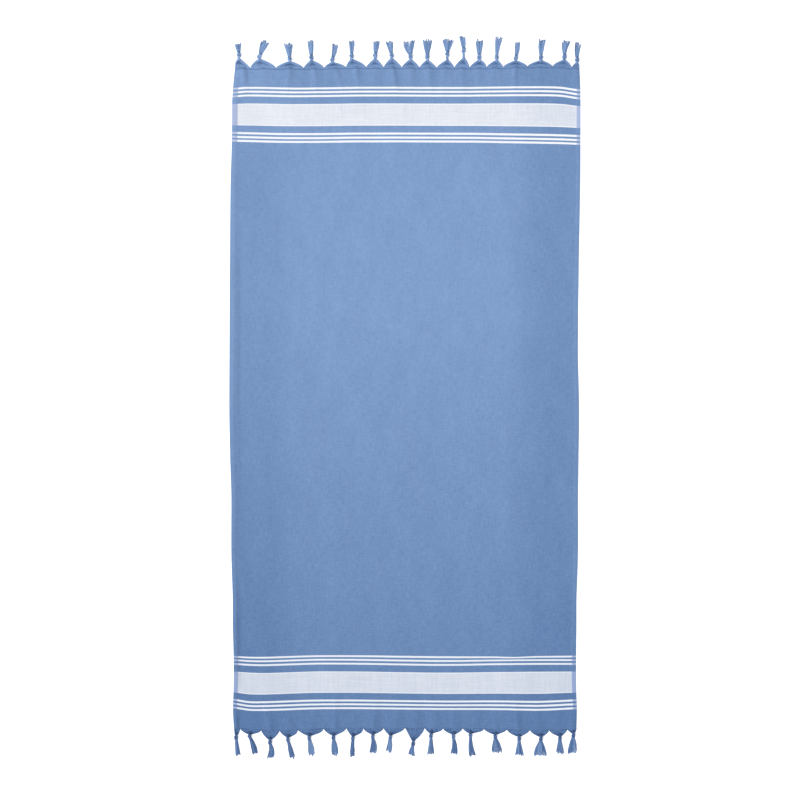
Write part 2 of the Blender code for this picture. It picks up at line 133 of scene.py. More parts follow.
# The wefts: x, and how far outward they stray from straight in the outer thin stripes, the broad band, the
# inner thin stripes and the last of those.
FAR_WEFT = (
    (-0.44, -0.0020, 0.0, 0.0030, 0.0030),
    (-0.40, 0.0010, 0.0005, 0.0020, 0.0020),
    (-0.28, -0.0010, -0.0010, -0.0005, -0.0005),
    (-0.10, 0.0010, 0.0005, 0.0010, 0.0010),
    (0.15, 0.0005, 0.0, 0.0005, 0.0005),
    (0.30, 0.0020, 0.0, -0.0015, -0.0015),
    (0.40, 0.0010, -0.0015, -0.0035, -0.0035),
    (0.45, -0.0065, -0.0050, -0.0055, -0.0055),
)
NEAR_WEFT = (
    (-0.44, -0.0040, -0.0015, -0.0015, 0.0),
    (-0.40, 0.0025, 0.0015, 0.0010, 0.0020),
    (-0.36, 0.0025, 0.0025, 0.0015, 0.0020),
    (-0.20, -0.0020, -0.0020, -0.0025, -0.0020),
    (0.10, 0.0005, 0.0010, 0.0010, 0.0005),
    (0.26, 0.0005, 0.0, -0.0010, 0.0015),
    (0.35, 0.0020, -0.0005, -0.0015, 0.0005),
    (0.45, -0.0025, -0.0020, -0.0015, -0.0010),
)
# Distance in from the hem line at which that line, those four strays and no stray apply.
WEFT_STATIONS = (0.0, 0.063, 0.122, 0.175, 0.193, 0.360)

# The near end is woven a little closer: the place along the weave, and how far its wefts lie nearer to the
# hem than the same ones at the far end.
NEAR_PACKING = ((0.00, 0.0), (0.05, -0.0015), (0.09, -0.0020), (0.20, -0.0060), (0.45, -0.0060), (0.86, 0.0))

# How the brushes and knots of one end look. The shortest wisp is a share of its brush's length, rounding how
# much shorter the outermost strands are, clumped how much wisps close up at their tips, flare how late a
# brush widens and spread how far loose hairs carry it past its width. Stout is a knot's width against the
# pulled knot's own, pale how much paler its yarn is, and neck how much the yarn is darkened with painted
# shade where it leaves its web.
YarnLook = namedtuple("YarnLook", "shortest_wisp rounding clumped flare spread stout pale neck")
FAR_YARN = YarnLook(0.86, 0.05, 0.60, 1.05, 1.28, 1.00, 0.16, 0.00)
NEAR_YARN = YarnLook(0.88, 0.06, 0.50, 1.10, 1.30, 0.80, 0.00, 0.40)

# How the webs of one end look. Reach is from a knot's middle to the web's neck, full how much rounder the
# soft webs are than their solids, sunk how far up a web its arched hollow lies and deep how far that reaches
# up and down, as shares of the web's length, and broad its reach to either side, as a share of the web's
# width. Hollow and tucks are how much painted shade darkens the blue in them, and rims how much paler the
# rolled sides and the gathered tongue are painted, partly for their looser weave and partly as painted
# highlight.
# Pull is how strongly a web draws the cloth. The deep webs have the strongest hollows.
WebLook = namedtuple("WebLook", "reach full sunk deep broad hollow tucks rims pull deep_webs")
FAR_WEBS = WebLook(0.0046, 1.22, 0.56, 0.12, 0.23, 2.30, 0.40, 0.40, 1.30, (1, 3, 5, 9, 11, 13, 15, 16))
NEAR_WEBS = WebLook(0.0032, 1.25, 0.80, 0.085, 0.30, 1.20, 0.50, 0.00, 1.05, (2, 4, 5, 7, 10, 11, 12, 14, 16))

# Outward is +1 where the tassels point to +Y and -1 where they point to -Y.
End = namedtuple("End", "label hem_y outward hem_line weft tassels yarn webs")
ENDS = (
    End("far", FAR_HEM_Y, 1.0, FAR_HEM_LINE, FAR_WEFT, FAR_TASSELS, FAR_YARN, FAR_WEBS),
    End("near", NEAR_HEM_Y, -1.0, NEAR_HEM_LINE, NEAR_WEFT, NEAR_TASSELS, NEAR_YARN, NEAR_WEBS),
)

# ---- relief of the sheet -------------------------
# Grid lines start close together at an edge and spread out: first step, growth and widest step.
GridRule = namedtuple("GridRule", "first growth widest")
ACROSS_GRID = GridRule(0.0008, 0.060, 0.0046)
ALONG_GRID = GridRule(0.0009, 0.045, 0.0062)

# The side hems: y, and the width of the left and of the right one.
HEM_WIDTHS = (
    (-0.862, 0.0095, 0.0085),
    (-0.740, 0.0112, 0.0116),
    (-0.600, 0.0112, 0.0110),
    (-0.300, 0.0116, 0.0100),
    (0.000, 0.0125, 0.0108),
    (0.300, 0.0145, 0.0098),
    (0.600, 0.0128, 0.0095),
    (0.740, 0.0144, 0.0102),
    (0.856, 0.0118, 0.0080),
)
HEM_RISE = 0.0010
HEM_EDGE = 0.0030  # how far in from the edge the hem reaches its height
HEM_FALL = 0.6  # how much of that height its outer edge falls
HEM_STEP = 0.0016  # how far the step down to the cloth spreads
HEM_DRAG = 0.00030  # ripples that its seam draws
HEM_DRAG_LENGTH = 0.0165
STITCH_INSET = 0.0027  # the seam just inside the far hem line
STITCH_DEPTH = 0.00060
STITCH_HALF = 0.0010

# Soft ridges, and with a height below zero troughs, that storing and handling have left in the cloth. Shade
# is how much darker the blue is painted in some of them: painted shade in the troughs beside the left hem.
CREASE_FADE = 0.7  # under 1, a crease keeps its height for most of its length
Crease = namedtuple("Crease", "x_start y_start x_end y_end width height shade", defaults=(0.0,))
CREASES = [Crease(*row) for row in (
    (-0.272, -0.880, -0.268, 0.880, 0.026, 0.00055),
    (-0.355, -0.700, -0.350, 0.780, 0.034, -0.00030),
    (0.270, -0.880, 0.280, 0.880, 0.026, 0.00050),
    (0.335, -0.860, 0.330, 0.860, 0.030, -0.00035),
    (0.005, -0.860, -0.010, 0.860, 0.040, 0.00030),
    (-0.436, -0.780, -0.440, -0.430, 0.013, 0.00080),
    (-0.428, -0.760, -0.430, -0.450, 0.0055, -0.00065, 0.32),
    (-0.443, -0.450, -0.443, 0.680, 0.010, 0.00060),
    (-0.430, -0.450, -0.430, 0.680, 0.0055, -0.00055, 0.22),
    (0.200, -0.690, 0.400, -0.640, 0.016, 0.00060),
    (0.262, -0.686, 0.358, -0.671, 0.007, -0.00040),
    (-0.220, -0.640, -0.090, -0.620, 0.022, 0.00040),
    (0.180, 0.720, 0.225, 0.880, 0.016, 0.00055),
    (0.285, 0.715, 0.325, 0.880, 0.018, 0.00055),
    (-0.400, 0.730, -0.345, 0.880, 0.018, 0.00045),
    (-0.405, 0.670, -0.400, 0.800, 0.035, -0.00020, 0.06),
    (0.412, -0.800, 0.415, -0.670, 0.025, -0.00020, 0.05),
)]

# Shallow waves all over the cloth: usual lengths across and along it, their height and how many there are.
Ripple = namedtuple("Ripple", "across along height count")
RIPPLES = (
    Ripple(0.160, 0.420, 0.00060, 7),
    Ripple(0.070, 0.160, 0.00024, 9),
    Ripple(0.030, 0.200, 0.00007, 9),
)
RIPPLE_SEED = 11

# Each web draws a ridge into the cloth in line with it, and each notch a hollow, some more than others.
PULLS = (0.4, 1.6)
PULL_LEANS = (-0.3, 0.3)
PULL_WIDTHS = (0.7, 1.3)
PULL_SEED = 5
WEB_RIDGE = 0.0023
WEB_RIDGE_WIDTH = 0.008
WEB_RIDGE_REACH = 0.048
NOTCH_HOLLOW = 0.0016
NOTCH_HOLLOW_WIDTH = 0.006
NOTCH_HOLLOW_REACH = 0.034

# ---- stripes, by distance in from the hem line ---
StripeGroup = namedtuple("StripeGroup", "middles far_width near_width")
THIN_STRIPES = (
    StripeGroup((0.0534, 0.0634, 0.0734), 0.0051, 0.0050),
    StripeGroup((0.1725, 0.1829, 0.1927), 0.0054, 0.0049),
)
BAND_START = 0.0939
BAND_END = 0.1516
BAND_SELVEDGE = 0.0024  # the denser first and last wefts of the band
STRIPE_SOFTNESS = 0.0006
WEFT_STRAY = 0.0005
SEAM_HALF = 0.0012
SEAM_SOFTNESS = 0.0005
SEAM_DIP = 0.0007  # how much farther in the seam runs at the notches, and less far at the webs
SEAM_DIP_REACH = 0.008
SEAM_COVER = 0.8
STITCH_LENGTH = 0.0031
PINCH = 0.0016  # how far the cloth is pinched together within the stretch below
PINCH_ACROSS = (0.262, 0.322)
PINCH_FADE = 0.050
PINCH_ALONG = (0.1880, 0.2200)
PINCH_EDGE = 0.0036

# Marks of the weave and the yarn: how many for each metre across and along it, and how fine their detail.
Marks = namedtuple("Marks", "across along detail")
WARP_SLUBS = Marks(300.0, 55.0, 2.0)
WEFT_SLUBS = Marks(55.0, 300.0, 2.0)
MOTTLING = Marks(170.0, 170.0, 1.5)
CLOUDING = Marks(22.0, 9.0, 3.0)
WARP_LINES = Marks(260.0, 12.0, 2.0)
WEFT_LINES = Marks(12.0, 260.0, 2.0)
LOOSE_GAPS = Marks(190.0, 170.0, 1.0)  # gaps of the loosened weave in the near webs
YARN_MARKS = Marks(900.0, 120.0, 2.0)
MARK_ROUGHNESS = 0.6

GRAIN = 0.67  # how much the marks change the dye together, and each one's part in it
SLUBS = 0.80
MOTTLE = 0.50
CLOUDS = 0.50
GRAIN_IN_DEEP = 0.63  # how much of that shows where the blue is deepest
BAND_GRAIN = 0.8  # how much of it shows in the broad band
BAND_LINES = 0.65  # how much single threads show there
HEM_HIGHLIGHT = 0.36  # how much paler the blue of the side hems is painted, where it is pale: painted highlight on the raised hems
HEM_SOFTNESS = 0.12  # as a share of the hem's width
HEM_COVER = 0.92  # how much the hem's own white covers the band, and how much less the thin stripes
HEM_UNCOVER = 0.14
FOLD_SHADE_COVER = 0.70  # how far the deepest painted shade in folds and gaps takes its own dark blue
LOOSE_GAP_SHADE = 0.90  # how dark the painted shade in the gaps of the loosened weave is
FIRST_GAPS = 0.0035  # the row of wider gaps just past the near hem line
THREAD_PITCH = 0.0011
THREAD_STRAY = 0.0040  # how far threads wander, so that the weave isn't a ruled grid
WEAVE_RELIEF = 0.00013
YARN_RELIEF = 0.00010
PLY_PITCH = 0.0011

# ---- tassels -------------------------------------
WEB_STRIPS = 30
WEB_STEPS = 20
WEB_THICKNESS = 0.0012
WEB_LEAST = 0.00072  # height of the upper side at its lowest
WEB_OVERLAP = 0.0004  # how far it starts inside the hem line
NECK_WIDTH = 0.0068
NECK_HEIGHT = 0.0036
WEB_RIM = 0.0014  # how much the folded sides of a web stand up
WEB_RIM_WIDTH = 0.0020
RIM_CREASE = 0.0006
WEB_PLEAT = 0.0011
PLEAT_COUNTS = (3.2, 5.2)
PLEAT_BENDS = (0.03, 0.07)
# Painted shade in the valleys between a web's pleats.
VALLEY_SHADE = 0.12
WEB_HOLLOW = 0.0022  # depth of the arched hollow across it
FAINT_HOLLOW = 0.5  # how much of it the webs have that aren't deep
HOLLOW_STRAY = 0.06
WEB_TONGUE = 0.0012  # how much the gathered part between the hollow and the knot stands up
TONGUE_WIDTH = 0.20  # as a share of the web's width
TONGUE_REACH = 0.25
WEB_TUCK = 0.0022  # depth of the tucks that run up to the neck
TUCK_BASES = ((0.10, 0.38), (0.62, 0.90))
TUCK_STARTS = (0.15, 0.40)
TUCK_OPENINGS = (0.5, 1.0)
TUCK_WIDTH = 0.10  # as a share of the web's width

BUNDLE = 0.0046  # thickness of the gathered warp where it is knotted
BUNDLE_STRANDS = 9
BUNDLE_STRAND = 0.21  # radius of one of them, as a share of the bundle
BUNDLE_RING = 0.31  # radius of the ring that they form
BUNDLE_TWIST = 0.030  # length of one turn
BUNDLE_FLARE = 1.5  # how much wider it starts inside the web, and how soon it narrows
BUNDLE_FLARE_REACH = 0.0035
BUNDLE_TONES = (0.08, 0.70)
CORE_TONE = 0.1
BUNDLE_INSET = 0.0045  # how far inside the web's neck it starts
NECK_SHADE_FROM = 0.0055  # along the bundle
NECK_SHADE_REACH = 0.0035
STRAND_SIDES = 5
KNOT_FLATTENING = 0.76
KNOT_SHORTENING = 0.74
KNOT_TILT = 0.5
KNOT_RINGS = 46
ROPE_START = -0.0150  # the part of the pulled rope that is used, before it is shortened
ROPE_END = 0.0115
KNOT_END = 0.0058  # where the rope starts to run straight, and how soon it does
KNOT_END_FADE = 0.0045
BUNDLE_LEAST = 0.0015  # the shortest straight piece worth adding before the knot
TURN_REACH = 0.010  # the length over which the rope turns towards its brush

BRUSH_STRANDS = 56
STRANDS_PER_WIDTH = 3200.0  # more strands for a wider brush, for each metre
BRUSH_STEPS = 9
BRUSH_ROOT = 0.0031  # half of its width where it leaves the knot
BRUSH_START = 0.0040  # from the knot's middle
BRUSH_PILE = 0.0040  # height of the brush at its root
TIP_PILE = 0.0018
WISP_WIDTH = 0.0032
WISP_STRAY = 0.25
WISP_SHADES = 0.36  # how much paler or deeper whole wisps are
STRAND_RADIUS = 0.00076
STRAND_TURNS = (1.2, 2.8)
STRAND_LENGTHS = (0.94, 1.0)  # as shares of their wisp's
STRAND_TONES = (0.1, 0.9)
STRAY_HAIRS = 9
STRAY_LENGTHS = (0.7, 1.0)

# The strands of a brush and its stray hairs: how far out they lie, how far they swing, and their radii.
Hair = namedtuple("Hair", "width swings radii")
STRAND = Hair(1.0, (0.0001, 0.0005), (0.8, 1.15))
STRAY_HAIR = Hair(1.12, (0.0006, 0.0013), (0.35, 0.5))
Wisp = namedtuple("Wisp", "place length tone")

# ---- colours and light ---------------------------
BLUE_DEEP = (0.086, 0.174, 0.362, 1.0)
BLUE_PALE = (0.236, 0.372, 0.631, 1.0)
OFF_WHITE_DEEP = (0.590, 0.635, 0.735, 1.0)
OFF_WHITE_PALE = (0.850, 0.868, 0.915, 1.0)
# The near whites are painted darker than the far ones: painted light, the far end brighter lit.
NEAR_WHITE = (0.800, 0.835, 0.895, 1.0)
FAR_WHITE = (0.920, 0.935, 0.965, 1.0)
NEAR_HEM_WHITE = (0.262, 0.352, 0.596, 1.0)
FAR_HEM_WHITE = (0.390, 0.460, 0.690, 1.0)
SEAM_BLUE = (0.050, 0.105, 0.270, 1.0)
# Painted shade in creases, web folds and the gaps of the loosened weave.
FOLD_SHADE_BLUE = (0.024, 0.074, 0.205, 1.0)
# The webs' rims and tongues painted paler, partly for their looser weave and partly as painted highlight.
RIM_PALE_AND_LIT_BLUE = (0.300, 0.430, 0.690, 1.0)
YARN_DEEP = (0.060, 0.140, 0.340, 1.0)
YARN_PALE = (0.285, 0.445, 0.740, 1.0)
SHEEN_TINT = (0.90, 0.94, 1.0, 1.0)

# How pale the blue is, from 0 for deep to 1 for pale: the dye, with painted light and shade. It pales steadily
# away from the near end, painted light that makes the far end look more brightly lit, and the two outer panels,
# beyond the long folds, are darker than the middle one, painted shade of panels that tilt away from the light:
# the left panel up to the far stripes, and the right one most of all in its far half.
DYE_AND_LIGHT_NEAR = 0.20
DYE_AND_LIGHT_FAR = 0.75
LIGHT_PALING = 1.10  # the length over which it pales
LEFT_PANEL_SHADING = (-0.16, 0.03)  # painted shading of the left panel, at the near and at the far end
LEFT_PANEL_CHANGE = (1.48, 1.58)  # between these distances from the near hem line
# Painted shading of the right panel, at the near and at the far end.
RIGHT_PANEL_SHADING = (-0.15, -0.29)
RIGHT_PANEL_CHANGE = (0.45, 1.00)
PANEL_FOLD = 0.31  # from the middle to either long fold
PANEL_SOFTNESS = 0.045
FAR_HEM_DARKENING = -0.20  # darker again beside the hem lines
NEAR_HEM_DARKENING = -0.10
HEM_DARKENING_REACH = 0.150
HEM_DARKENING_MIDDLE = 0.6  # how much of that is in the middle panel alone

VIEW_CENTRE = (-0.0117, -0.0078)
VIEW_WIDTH = 2.08
LENS = 85.0
SENSOR = 36.0

KEY_FROM = (-0.75, -0.62, 1.15)
KEY_ANGLE = 0.45
KEY_STRENGTH = 2.35
SKY = (0.96, 0.98, 1.0, 1.0)
SKY_STRENGTH = 0.52
FLOOR_HALF = 60.0
FLOOR_Z = -0.0002
FLOOR_WHITE = (0.93, 0.93, 0.93, 1.0)
FLOOR_GLOW = 0.45


# ---- shared helpers ------------------------------
def between(low, high, share):
    return low + (high - low) * share


def unit(value):
    """Holds a number between 0 and 1."""
    return np.clip(value, 0.0, 1.0)


def arch(share):
    """Rises from 0 at share 0 to 1 halfway, and back to 0 at share 1."""
    return 4.0 * share * (1.0 - share)


def bell(offset, width):
    return np.exp(-((offset / width) ** 2))


def curves(table, at):
    """Reads the smooth curve of every further column of a table over its first, and holds their ends."""
    stations, *columns = np.array(table, dtype=float).T
    at = np.clip(at, stations[0], stations[-1])
    index = np.arange(len(stations))
    low, high = np.maximum(index - 1, 0), np.minimum(index + 1, len(stations) - 1)
    k = np.clip(np.searchsorted(stations, at, side="right") - 1, 0, len(stations) - 2)
    span = stations[k + 1] - stations[k]
    t = (at - stations[k]) / span
    read = []
    for values in columns:
        slopes = (values[high] - values[low]) / (stations[high] - stations[low])
        start = values[k] * (2 * t**3 - 3 * t**2 + 1) + slopes[k] * span * (t**3 - 2 * t**2 + t)
        end = values[k + 1] * (3 * t**2 - 2 * t**3) + slopes[k + 1] * span * (t**3 - t**2)
        read.append(start + end)
    return read


def curve(table, at):
    return curves(table, at)[0]


def dye_and_light_at(across, along):
    """How pale the blue is at a place of the weave: the dye, with painted light and shade."""
    dye = between(DYE_AND_LIGHT_NEAR, DYE_AND_LIGHT_FAR, unit(along / LIGHT_PALING))
    on_left = 0.5 * (1.0 - np.tanh((across + PANEL_FOLD) / PANEL_SOFTNESS))
    on_right = 0.5 * (1.0 + np.tanh((across - PANEL_FOLD) / PANEL_SOFTNESS))
    dye += on_left * np.interp(along, LEFT_PANEL_CHANGE, LEFT_PANEL_SHADING)
    dye += on_right * np.interp(along, RIGHT_PANEL_CHANGE, RIGHT_PANEL_SHADING)
    by_hems = FAR_HEM_DARKENING * bell(np.maximum(WOVEN_LENGTH - along, 0.0), HEM_DARKENING_REACH)
    by_hems += NEAR_HEM_DARKENING * bell(np.maximum(along, 0.0), HEM_DARKENING_REACH)
    return dye + by_hems * (1.0 - HEM_DARKENING_MIDDLE * (on_left + on_right))


def placed(name, data):
    """A new object in the scene."""
    obj = bpy.data.objects.new(name, data)
    bpy.context.scene.collection.objects.link(obj)
    return obj


def make_mesh(name, points, faces, weave, tone, dye, materials, finishes):
    """A smooth piece with the values that its materials read: the place in the weave, a tone with painted
    shade, and the dye with painted light and shade.
    """
    mesh = bpy.data.meshes.new(name)
    mesh.from_pydata(points, [], faces)
    mesh.attributes.new("weave", "FLOAT_VECTOR", "POINT").data.foreach_set("vector", np.ravel(weave))
    mesh.attributes.new("tone", "FLOAT", "POINT").data.foreach_set("value", np.ravel(tone))
    mesh.attributes.new("dye", "FLOAT", "POINT").data.foreach_set("value", np.ravel(dye))
    for material in materials:
        mesh.materials.append(material)
    mesh.polygons.foreach_set("material_index", finishes)
    mesh.shade_smooth()
    mesh.update()
    return placed(name, mesh)


# ---- node helpers --------------------------------
class Value:
    """An output of a material's nodes. Each operator on it adds a Math node."""

    def __init__(self, socket):
        self.socket = socket
        self.tree = socket.id_data

    def calc(self, operation, *terms):
        """A Math node of this value and of others, or of plain numbers."""
        node = self.tree.nodes.new("ShaderNodeMath")
        node.operation = operation
        fill(node, dict(enumerate((self, *terms))))
        return Value(node.outputs[0])

    def __add__(self, term):
        return self.calc("ADD", term)

    def __sub__(self, term):
        return self.calc("SUBTRACT", term)

    def __mul__(self, term):
        return self.calc("MULTIPLY", term)

    def clamped(self):
        """Holds the result of the last node between 0 and 1."""
        self.socket.node.use_clamp = True
        return self


def fill(node, terms):
    """Gives a node's inputs, by name or number, their values, colours or plain numbers."""
    for key, term in terms.items():
        if isinstance(term, Value):
            node.id_data.links.new(term.socket, node.inputs[key])
        else:
            node.inputs[key].default_value = term


def mixed(share, first, second):
    """A colour between two, each of them a value or a plain colour."""
    node = share.tree.nodes.new("ShaderNodeMix")
    node.data_type = "RGBA"
    fill(node, {0: share, 6: first, 7: second})
    return Value(node.outputs[2])


def attribute(tree, name, output="Fac"):
    node = tree.nodes.new("ShaderNodeAttribute")
    node.attribute_name = name
    return Value(node.outputs[output])


def weave_place(tree):
    """Across, along and the share of the side hem's width, and then all three as a vector."""
    vector = attribute(tree, "weave", "Vector")
    split = tree.nodes.new("ShaderNodeSeparateXYZ")
    fill(split, {0: vector})
    return *(Value(output) for output in split.outputs), vector


def streaks(vector, marks):
    """Noise with its own number of marks across and along the weave, from 0 to 1."""
    scale = vector.tree.nodes.new("ShaderNodeVectorMath")
    scale.operation = "MULTIPLY"
    fill(scale, {0: vector, 1: (marks.across, marks.along, 0.0)})
    noise = vector.tree.nodes.new("ShaderNodeTexNoise")
    fill(noise, {"Vector": Value(scale.outputs[0]), "Scale": 1.0})
    fill(noise, {"Detail": marks.detail, "Roughness": MARK_ROUGHNESS})
    return Value(noise.outputs["Fac"])


def pulse(value, start, end, softness):
    """1 between start and end, 0 outside them, with soft steps."""
    rise = (value * (1.0 / softness) + (0.5 - start / softness)).clamped()
    fall = (value * (-1.0 / softness) + (0.5 + end / softness)).clamped()
    return rise * fall


def wave(value, length):
    """A sine from -1 to 1 along a value."""
    return (value * (math.tau / length)).calc("SINE")


def cotton_base(name, sheen):
    """A fibrous material whose colour, roughness and relief are still to be given."""
    material = bpy.data.materials.new(name)
    material.use_nodes = True
    shader = material.node_tree.nodes["Principled BSDF"]
    fill(shader, {"Specular IOR Level": 0.45, "Sheen Weight": sheen})
    fill(shader, {"Sheen Roughness": 0.45, "Sheen Tint": SHEEN_TINT})
    return material, material.node_tree, shader


def finish_cotton(shader, colour, roughness, height, depth):
    relief = height.tree.nodes.new("ShaderNodeBump")
    fill(relief, {"Height": height, "Distance": depth, "Strength": 1.0})
    fill(shader, {"Base Color": colour, "Roughness": roughness, "Normal": Value(relief.outputs[0])})


# ---- materials -----------------------------------
def stripe_masks(inward, at_far):
    """How much of a point is thin white stripe, broad band, and the band's dense edges."""
    thin = 0.0
    for group in THIN_STRIPES:
        half = at_far * ((group.far_width - group.near_width) / 2) + group.near_width / 2
        for middle in group.middles:
            inside = half - (inward - middle).calc("ABSOLUTE")
            thin = (inside * (1.0 / STRIPE_SOFTNESS) + 0.5).clamped().calc("MAXIMUM", thin)
    band = pulse(inward, BAND_START, BAND_END, STRIPE_SOFTNESS)
    inside = pulse(inward, BAND_START + BAND_SELVEDGE, BAND_END - BAND_SELVEDGE, 3 * STRIPE_SOFTNESS)
    return thin, band, (band - inside).clamped()


def pinched(across, along):
    """How far the inmost near stripe is drawn towards its neighbour where the cloth is pinched."""
    return pulse(across, *PINCH_ACROSS, PINCH_FADE) * pulse(along, *PINCH_ALONG, PINCH_EDGE) * PINCH


def loose_weave_shade(along, vector):
    """Painted shade in the gaps between the threads where the weave ends and loosens, past the near hem line.
    """
    beyond = pulse(along, -1.0, 0.0, 0.0015)
    gaps = (streaks(vector, LOOSE_GAPS) * 10.0 - 4.8).clamped()
    first = pulse(along, -FIRST_GAPS, 0.0, 0.0010) * 0.6 + 0.6
    return beyond * (gaps * (first * LOOSE_GAP_SHADE))


def with_stripes(dye, band_dye_and_light, base_dye_and_light, hem_share, inward, at_far):
    """The blue of the cloth with its white stripes and band, which both look different in the side hems."""
    thin, band, dense = stripe_masks(inward, at_far)
    blue = mixed(dye, BLUE_DEEP, BLUE_PALE)
    off_white = mixed(band_dye_and_light, OFF_WHITE_DEEP, OFF_WHITE_PALE)
    white = mixed(thin.calc("MAXIMUM", dense), off_white, mixed(at_far, NEAR_WHITE, FAR_WHITE))
    in_hem = pulse(hem_share, -1.0, 1.0, HEM_SOFTNESS)
    hem_white = mixed(at_far, NEAR_HEM_WHITE, FAR_HEM_WHITE)
    white = mixed(in_hem * (thin * -HEM_UNCOVER + HEM_COVER), white, hem_white)
    # Painted highlight: the raised side hems painted paler where the blue is pale.
    blue = mixed(in_hem * (base_dye_and_light * HEM_HIGHLIGHT), blue, BLUE_PALE)
    return mixed(thin.calc("MAXIMUM", band), blue, white)


def with_seam(colour, across, from_far):
    """The stitches of the seam just inside the far hem line: a dark thread, darkened further with painted shade
    in its groove.
    """
    seam = pulse(from_far, STITCH_INSET - SEAM_HALF, STITCH_INSET + SEAM_HALF, SEAM_SOFTNESS)
    dashes = (wave(across, STITCH_LENGTH) * 0.4 + 0.8).clamped()
    return mixed(seam * (dashes * SEAM_COVER), colour, SEAM_BLUE)


def plain_weave(across, along):
    """Height of threads that pass over and under each other, from -1 to 1."""
    over = wave(across, THREAD_PITCH) * wave(along, THREAD_PITCH)
    warp = wave(across, 2 * THREAD_PITCH).calc("ABSOLUTE")
    weft = wave(along, 2 * THREAD_PITCH).calc("ABSOLUTE")
    return warp * weft * 0.6 + over * 0.5


def woven_cotton():
    """Blue plain weave with white weft stripes, its slubs and unevenness, painted shade in its folds and loose
    gaps, and the side hems painted paler as a highlight.
    """
    material, tree, shader = cotton_base("woven_cotton", 0.25)
    across, along, hem_share, vector = weave_place(tree)
    warp_slub, weft_slub = streaks(vector, WARP_SLUBS), streaks(vector, WEFT_SLUBS)
    mottle, slubs = streaks(vector, MOTTLING), warp_slub + weft_slub
    grain = mottle * MOTTLE + slubs * SLUBS + streaks(vector, CLOUDING) * CLOUDS
    base_dye_and_light = attribute(tree, "dye")
    uneven = grain * GRAIN - (SLUBS + MOTTLE / 2 + CLOUDS / 2) * GRAIN
    uneven = uneven * (base_dye_and_light * (1.0 - GRAIN_IN_DEEP) + GRAIN_IN_DEEP)
    dye = (base_dye_and_light + uneven).clamped()
    lines = (streaks(vector, WARP_LINES) + streaks(vector, WEFT_LINES)) * BAND_LINES - BAND_LINES
    band_dye_and_light = (uneven * BAND_GRAIN + (base_dye_and_light + lines)).clamped()

    from_near = weft_slub * WEFT_STRAY + along + pinched(across, along)
    from_far = from_near * -1.0 + WOVEN_LENGTH
    at_far = pulse(from_far, -1.0, WOVEN_LENGTH / 2, 0.01)
    colour = with_stripes(dye, band_dye_and_light, base_dye_and_light, hem_share, from_far.calc("MINIMUM", from_near), at_far)
    colour = with_seam(colour, across, from_far)
    # Painted shade darkens creases, web hollows, tucks, valleys and loose gaps; a tone below zero paints the
    # webs' rims and tongues paler, partly looser weave, partly painted highlight.
    fold_shade_and_rim_light = attribute(tree, "tone")
    sunk = (loose_weave_shade(along, vector) + fold_shade_and_rim_light).clamped()
    colour = mixed(sunk * FOLD_SHADE_COVER, colour, FOLD_SHADE_BLUE)
    colour = mixed((fold_shade_and_rim_light * -1.0).clamped(), colour, RIM_PALE_AND_LIT_BLUE)

    threads = plain_weave(warp_slub * THREAD_STRAY + across, weft_slub * THREAD_STRAY + along)
    finish_cotton(shader, colour, grain * -0.10 + 0.92, mottle * 1.6 + (threads + slubs), WEAVE_RELIEF)
    return material


def knotted_warp():
    """Loose blue warp yarn: every strand has a shade of its own, painted darker where it leaves its web and low
    in its brush, and a ply that winds round it.
    """
    material, tree, shader = cotton_base("knotted_warp", 0.30)
    around, along, _, vector = weave_place(tree)
    uneven = streaks(vector, YARN_MARKS)
    tone = attribute(tree, "tone") * 1.10 - 0.72
    share = (uneven * 0.5 + tone + attribute(tree, "dye")).clamped()
    height = uneven * 1.5 + wave(along + around, PLY_PITCH)
    finish_cotton(shader, mixed(share, YARN_DEEP, YARN_PALE), uneven * -0.15 + 0.85, height, YARN_RELIEF)
    return material


# ---- sheet ---------------------------------------
def grid_lines(rule, length):
    """Places from edge to edge, close together at both edges and mirrored about the middle."""
    places = [0.0]
    while places[-1] < length / 2:
        places.append(places[-1] + min(rule.widest, rule.first + rule.growth * places[-1]))
    half = np.array(places) * (length / 2 / places[-1])
    return np.concatenate([half, length - half[-2::-1]])


def laid_y(along):
    """Where a weft lies, by its place in the weave measured from the near hem line."""
    return NEAR_HEM_Y + along + curve(NEAR_PACKING, along)


def weft_stray(end, x, inward):
    """How far outward the wefts of one end stray, for each row and each column of the grid."""
    strays = [curve(end.hem_line, x), *curves(end.weft, x), np.zeros_like(x)]
    return np.array(curves(np.column_stack([WEFT_STATIONS, strays]), inward)).T


def crease_strength(x, y, crease):
    """How much of one soft crease is at a place: round across its line, and fading towards both its ends."""
    along_x, along_y = crease.x_end - crease.x_start, crease.y_end - crease.y_start
    length = math.hypot(along_x, along_y)
    share = ((x - crease.x_start) * along_x + (y - crease.y_start) * along_y) / length**2
    across = ((x - crease.x_start) * along_y - (y - crease.y_start) * along_x) / length
    return np.sin(math.pi * unit(share)) ** CREASE_FADE * bell(across, crease.width)


def ripple_height(x, y):
    chance = random.Random(RIPPLE_SEED)
    height = np.zeros_like(x)
    for ripple in RIPPLES:
        for _ in range(ripple.count):
            turns_x = chance.uniform(0.6, 1.5) / ripple.across * chance.choice((-1, 1))
            turns_y = chance.uniform(0.2, 1.5) / ripple.along
            phase = chance.uniform(0.0, math.tau)
            swell = ripple.height / math.sqrt(ripple.count)
            height += swell * np.sin(math.tau * (turns_x * x + turns_y * y) + phase)
    return height


